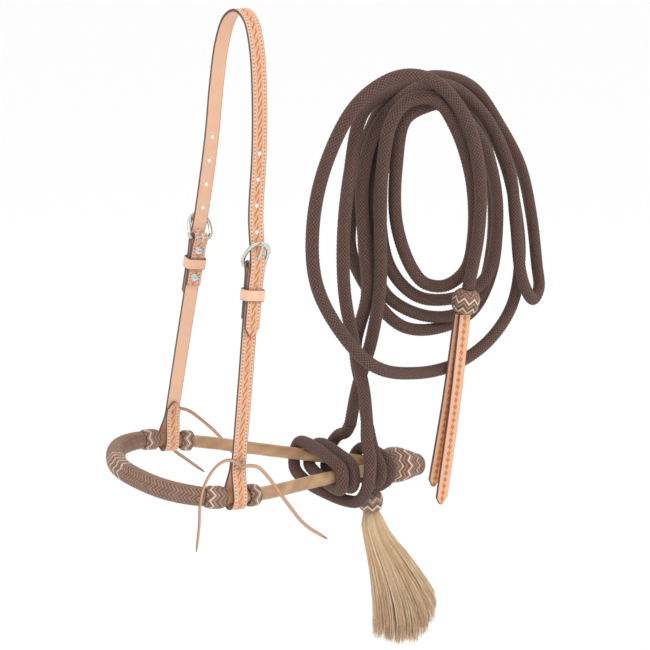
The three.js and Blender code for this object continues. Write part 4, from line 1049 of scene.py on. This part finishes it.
def buckle_frame(side):
    """The closed outline of bar and arch, leant outwards above the fold. Its section is an oval, wider in the
    outline's plane than through it."""
    a, r = ARM_HALF, FRAME_RISE
    right = [
        (0.4 * a, 0), (0.85 * a, 0), (a, 0.0003),
        (1.12 * a, 0.35 * r), (0.98 * a, 0.72 * r), (0.55 * a, 0.96 * r),
    ]
    left = [(-x, z) for x, z in right[::-1]]
    path, run = smooth_path([(x, 0, z) for x, z in right + [(0, ARCH_TOP)] + left], 0.0005, closed=True)
    _, across, face = directions(path, np.array([0, 1.0, 0]), closed=True)
    angle = np.linspace(0, 2 * np.pi, 24, endpoint=False)[None, :, None]
    broad = FRAME_WIRE * (1 + 0.25 * np.clip(path[:, 2] / r, 0, 1))[:, None, None]
    rings = path[:, None] + across[:, None] * np.cos(angle) * FRAME_WIRE * FRAME_FLATNESS
    rings = rings + face[:, None] * np.sin(angle) * broad
    rings[:, :, 1] += side * FRAME_SLOPE * np.clip(rings[:, :, 2] - FRAME_BEND, 0, None)
    return rings, run


def buckle_tongue(side):
    """The tongue's line from its eye round the bar up to its end on the arch."""
    eye = BAR_RADIUS + TONGUE_RADIUS + EYE_PLAY
    turn = np.radians([-160, -115, -70, -25, 20])
    hook = np.stack([np.zeros(5), side * eye * np.cos(turn), eye * np.sin(turn)], 1)
    blade = np.array([
        [0, side * TONGUE_REST * 0.62, 0.4 * FRAME_RISE],
        [0, side * TONGUE_REST, 0.82 * FRAME_RISE],
        [0, side * TONGUE_REST, FRAME_RISE + TONGUE_PAST],
    ])
    return np.vstack([hook, blade])


for hand, side in (("near", -1), ("far", 1)):
    place = on_cheek(side)
    rings, run = buckle_frame(side)
    ring_frame = skin(
        f"{hand}_horseshoe_buckle", carried(place, rings), run, NICKEL, nickel_plate, closed=True,
    )
    path, run = smooth_path(buckle_tongue(side), 0.0005)
    slimmed = 0.3 * np.clip(run / run[-1] - 0.6, 0, 1) ** 2
    rounded_end = 0.5 * np.clip((run - run[-1] + TONGUE_END) / TONGUE_END, 0, 1) ** 2
    taper = TONGUE_RADIUS * (1 - slimmed - rounded_end)
    rings, _ = round_rings(path, directions(path, np.array([1.0, 0, 0])), taper[:, None], 20)
    tongue = skin(f"{hand}_tongue_wire", carried(place, rings), run, NICKEL, nickel_plate)
    for piece, node, body in ((ring_frame, "buckle_frame", "buckle"), (tongue, "buckle_tongue", "tongue")):
        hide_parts(f"{hand}_{node}")
        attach(piece, f"{hand}_{body}")

# ------------------------------------------------------------------ the keepers
# Plain bands of the same leather, closed round both plies and the crown strap's tail. They
# slide between the two screws.

KEEPER_WALL, KEEPER_HEIGHT, KEEPER_DROP = 0.0018, 0.012, 0.0285
KEEPER_PLAY, KEEPER_SIDE_PLAY, KEEPER_CORNER = 0.0005, 0.0007, 0.0018
KEEPER_TAN = linear("F0C2A6")


def plain_face(across, run):
    """Untooled leather, with a faint crease along each edge."""
    crease = np.exp(-((np.abs(across) - (KEEPER_HEIGHT / 2 - 0.0012)) / 0.0003) ** 2)
    tint = mixed(KEEPER_TAN, STAMPED_BAND, crease * 0.5)
    return 0.00015 * crease, tint


def keeper(hand, side):
    """A band whose middle line is an oblong with rounded corners round the strap."""
    low = -LAYER - STRAP_THICKNESS / 2 - KEEPER_PLAY - KEEPER_WALL / 2
    high = TAIL_LIFT + STRAP_THICKNESS / 2 + KEEPER_PLAY + KEEPER_WALL / 2
    wide = STRAP_WIDTH / 2 + KEEPER_SIDE_PLAY + KEEPER_WALL / 2
    r = KEEPER_CORNER
    corners = []
    for x, y, start in (
        (wide - r, low + r, -90), (wide - r, high - r, 0),
        (-wide + r, high - r, 90), (-wide + r, low + r, 180),
    ):
        for angle in np.radians(start + np.array([0, 45, 90])):
            corners.append((x + r * np.cos(angle), side * (y + r * np.sin(angle)), -KEEPER_DROP))
    corners = corners[::side]
    path, run = smooth_path(corners, 0.0006, closed=True)
    along, across, face = directions(path, np.array([0, 0, 1.0]), closed=True)
    outward = np.sign((face * (path - path.mean(0))).sum(1).mean())
    ways = (along, -outward * across, -outward * face)
    rings, tint = strap_rings(path, run, ways, KEEPER_HEIGHT, KEEPER_WALL, plain_face)
    rings = carried(on_cheek(side), rings)
    return skin(f"{hand}_keeper_band", rings, run, tint, saddle_leather, closed=True)


for hand, side in (("near", -1), ("far", 1)):
    band = keeper(hand, side)
    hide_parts(f"{hand}_keeper")
    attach(band, f"{hand}_keeper")

# ------------------------------------------------------------------ the screws
# Two-part nickel screws clamp each upper fold: a domed head outside with its post, and a
# slotted head inside.

SCREW_DROPS = {"upper": 0.0135, "lower": 0.0435}
HEAD_RADIUS, HEAD_HEIGHT, SHANK_RADIUS = 0.0047, 0.001, 0.002
CLAMP_HALF = LAYER + STRAP_THICKNESS / 2 + TOUCH_GAP


def screw_head(name, side, drop, outside):
    """A lathe-turned head and shank about the screw's axis; the inner one has a slot cut across it."""
    inner, outer = CLAMP_HALF - 0.003, -CLAMP_HALF
    stud = SHANK_RADIUS * 0.45
    profile = np.array([
        (inner, 0.0), (inner, stud), (outer - 0.0001, stud),
        (outer, HEAD_RADIUS * 0.97), (outer - 0.0002, HEAD_RADIUS), (outer - 0.0005, HEAD_RADIUS * 0.97),
        (outer - 0.0008, HEAD_RADIUS * 0.8), (outer - HEAD_HEIGHT, HEAD_RADIUS * 0.4),
        (outer - HEAD_HEIGHT, 0.0),
    ])
    if outside:
        profile[:, 0] *= -1
        profile[1:3, 1] = SHANK_RADIUS
        profile[0, 0] = profile[1, 0] = -CLAMP_HALF + TOUCH_GAP
    angle = np.linspace(0, 2 * np.pi, 40, endpoint=False)[None, :]
    height, radius = profile[:, :1], profile[:, 1:]
    y = np.broadcast_to(side * height, (len(profile), 40))
    rings = np.stack([radius * np.cos(angle), y, radius * np.sin(angle) - drop], 2)[1:-1]
    if (side > 0) == outside:
        rings = rings[:, ::-1]
    place = on_cheek(side)
    run = np.arange(len(rings)) * 0.001
    return skin(name, carried(place, rings), run, NICKEL, nickel_plate)


for hand, side in (("near", -1), ("far", 1)):
    for level, drop in SCREW_DROPS.items():
        post = screw_head(f"{hand}_{level}_domed_post", side, drop, True)
        cap = screw_head(f"{hand}_{level}_slotted_cap", side, drop, False)
        place = on_cheek(side)
        inwards = place([[0, 1, 0]])[0] - place([[0, 0, 0]])[0]
        slot_at = place([[0, -side * (CLAMP_HALF + HEAD_HEIGHT), -drop]])[0]
        down = place([[0, 0, -1]])[0] - place([[0, 0, 0]])[0]
        cap = punched(cap, [punch(slot_at, inwards, (0.0005, 0.0038), 0.001, 12, across=down)])
        for piece, part in ((post, "post"), (cap, "cap")):
            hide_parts(f"{hand}_{level}_screw_{part}")
            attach(piece, "hanger")

# ------------------------------------------------------------------ the laces
# Each lower fold is closed by a soft lace through both plies, knotted outside. Its two tails
# are about 4 mm wide, cut to a point, and hang in loose curves.

LACE_WIDTH, LACE_THICKNESS, LACE_TIP = 0.0036, 0.0014, 0.012
LACE_TAN, LACE_SHADE = linear("D9A98B"), linear("7D5645")
lace_leather = tint_finish("lace_leather", 0.58, 1200.0, 0.0002, 0.2)
tail_routes = {
    "near_lace_front_tail": (-1, 0.133, [
        (-0.001, -0.011, 0.04), (-0.007, -0.014, 0.046), (-0.016, -0.016, 0.05), (-0.027, -0.017, 0.047),
        (-0.036, -0.018, 0.039), (-0.043, -0.019, 0.028), (-0.047, -0.019, 0.013), (-0.049, -0.019, -0.011),
        (-0.053, -0.019, -0.039),
    ]),
    "near_lace_rear_tail": (-1, 0.147, [
        (0.012, -0.011, 0.036), (0.019, -0.014, 0.034), (0.026, -0.017, 0.026), (0.037, -0.018, 0.009),
        (0.054, -0.017, -0.018), (0.072, -0.015, -0.043), (0.1, -0.012, -0.068),
    ]),
    "far_lace_rear_tail": (1, 0.115, [
        (0.012, 0.011, 0.036), (0.02, 0.015, 0.029), (0.034, 0.018, 0.021), (0.05, 0.019, 0.006),
        (0.071, 0.02, -0.018), (0.087, 0.02, -0.043),
    ]),
    "far_lace_front_tail": (1, 0.112, [
        (0.004, 0.011, 0.025), (0.002, 0.016, 0.011), (0.005, 0.019, -0.006), (0.014, 0.02, -0.023),
        (0.03, 0.02, -0.039), (0.051, 0.019, -0.059),
    ]),
}


def lace_strip(name, points, turn_from, turn_to, reference, tip):
    """A flat strip along a path, slowly turned about it, with a rounded section. A tip length above 0 cuts
    the end to a point."""
    path, run = smooth_path(points, 0.0008)
    along, aside, face = directions(path, reference)
    turned = np.linspace(turn_from, turn_to, len(run))[:, None]
    across = aside * np.cos(turned) + face * np.sin(turned)
    through = np.cross(along, across)
    angle = np.linspace(0, 2 * np.pi, 20, endpoint=False)[None, :, None]
    narrow = 0.4 + 0.6 * np.clip((run[-1] - run) / tip, 0, 1) ** 0.8 if tip else np.ones(len(run))
    flat_cos = np.sign(np.cos(angle)) * np.abs(np.cos(angle)) ** 0.6
    flat_sin = np.sign(np.sin(angle)) * np.abs(np.sin(angle)) ** 0.6
    rings = path[:, None] + narrow[:, None, None] * (
        across[:, None] * flat_cos * LACE_WIDTH / 2 + through[:, None] * flat_sin * LACE_THICKNESS / 2
    )
    towards_tip = np.clip((run - run[-1] + LACE_TIP) / LACE_TIP, 0, 1)[:, None, None] * (1 if tip else 0)
    dark = np.clip(1.2 * np.abs(flat_cos) ** 4 + towards_tip, 0, 1)
    tint = LACE_TAN + (LACE_SHADE - LACE_TAN) * (0.15 + 0.7 * dark)
    return skin(name, rings, run, np.broadcast_to(tint, rings.shape), lace_leather), path


for name, (side, length, route) in tail_routes.items():
    foot = on_cheek(side)([[0, 0, -CHEEK_LENGTH]])[0]
    if "rear" in name:
        route = [(0.0035, side * 0.0096, 0.0355), (0.008, side * 0.0114, 0.0366)] + route
    start = np.array(route[0]) + foot
    turn_to = 2.1 if "rear" in name else 1.0
    tail, tail_path = lace_strip(
        f"{name}_strip", np.array(route) + foot, 1.4, turn_to, ACROSS_THE_HORSE, LACE_TIP,
    )
    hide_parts(name)
    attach(tail, "hanger")
knot_line = [
    (-0.0052, 0.0008, -0.0024), (-0.0026, 0.0024, -0.0016), (0.0, 0.0032, 0.0), (0.0026, 0.0026, 0.0016),
    (0.0047, 0.0012, 0.0022), (0.0049, 0.0010, -0.0008), (0.0032, 0.0026, -0.0030), (0.0004, 0.0046, -0.0020),
    (-0.0020, 0.0048, 0.0006), (-0.0036, 0.0030, 0.0034), (-0.0030, 0.0010, 0.0054),
]
bight_line = [
    (0.0, -0.0040, -0.0022), (0.0, -0.0066, -0.0017), (0.0, -0.0074, 0.0),
    (0.0, -0.0066, 0.0017), (0.0, -0.0040, 0.0022),
]
for hand, side in (("near", -1), ("far", 1)):
    for part, line, turn in (("hitch", knot_line, np.pi / 2), ("bight", bight_line, 0.0)):
        place = on_cheek(side)
        across = place([[1, 0, 0]])[0] - place([[0, 0, 0]])[0]
        face, height = LAYER + STRAP_THICKNESS / 2, LACE_RISE - CHEEK_LENGTH
        points = [(x, side * (face + y), z + height) for x, y, z in line]
        reference = ACROSS_THE_HORSE if part == "hitch" else across
        knot, _ = lace_strip(f"{hand}_lace_{part}", place(points), turn, turn, reference, 0)
        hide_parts(f"{hand}_lace_knot")
        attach(knot, "hanger")
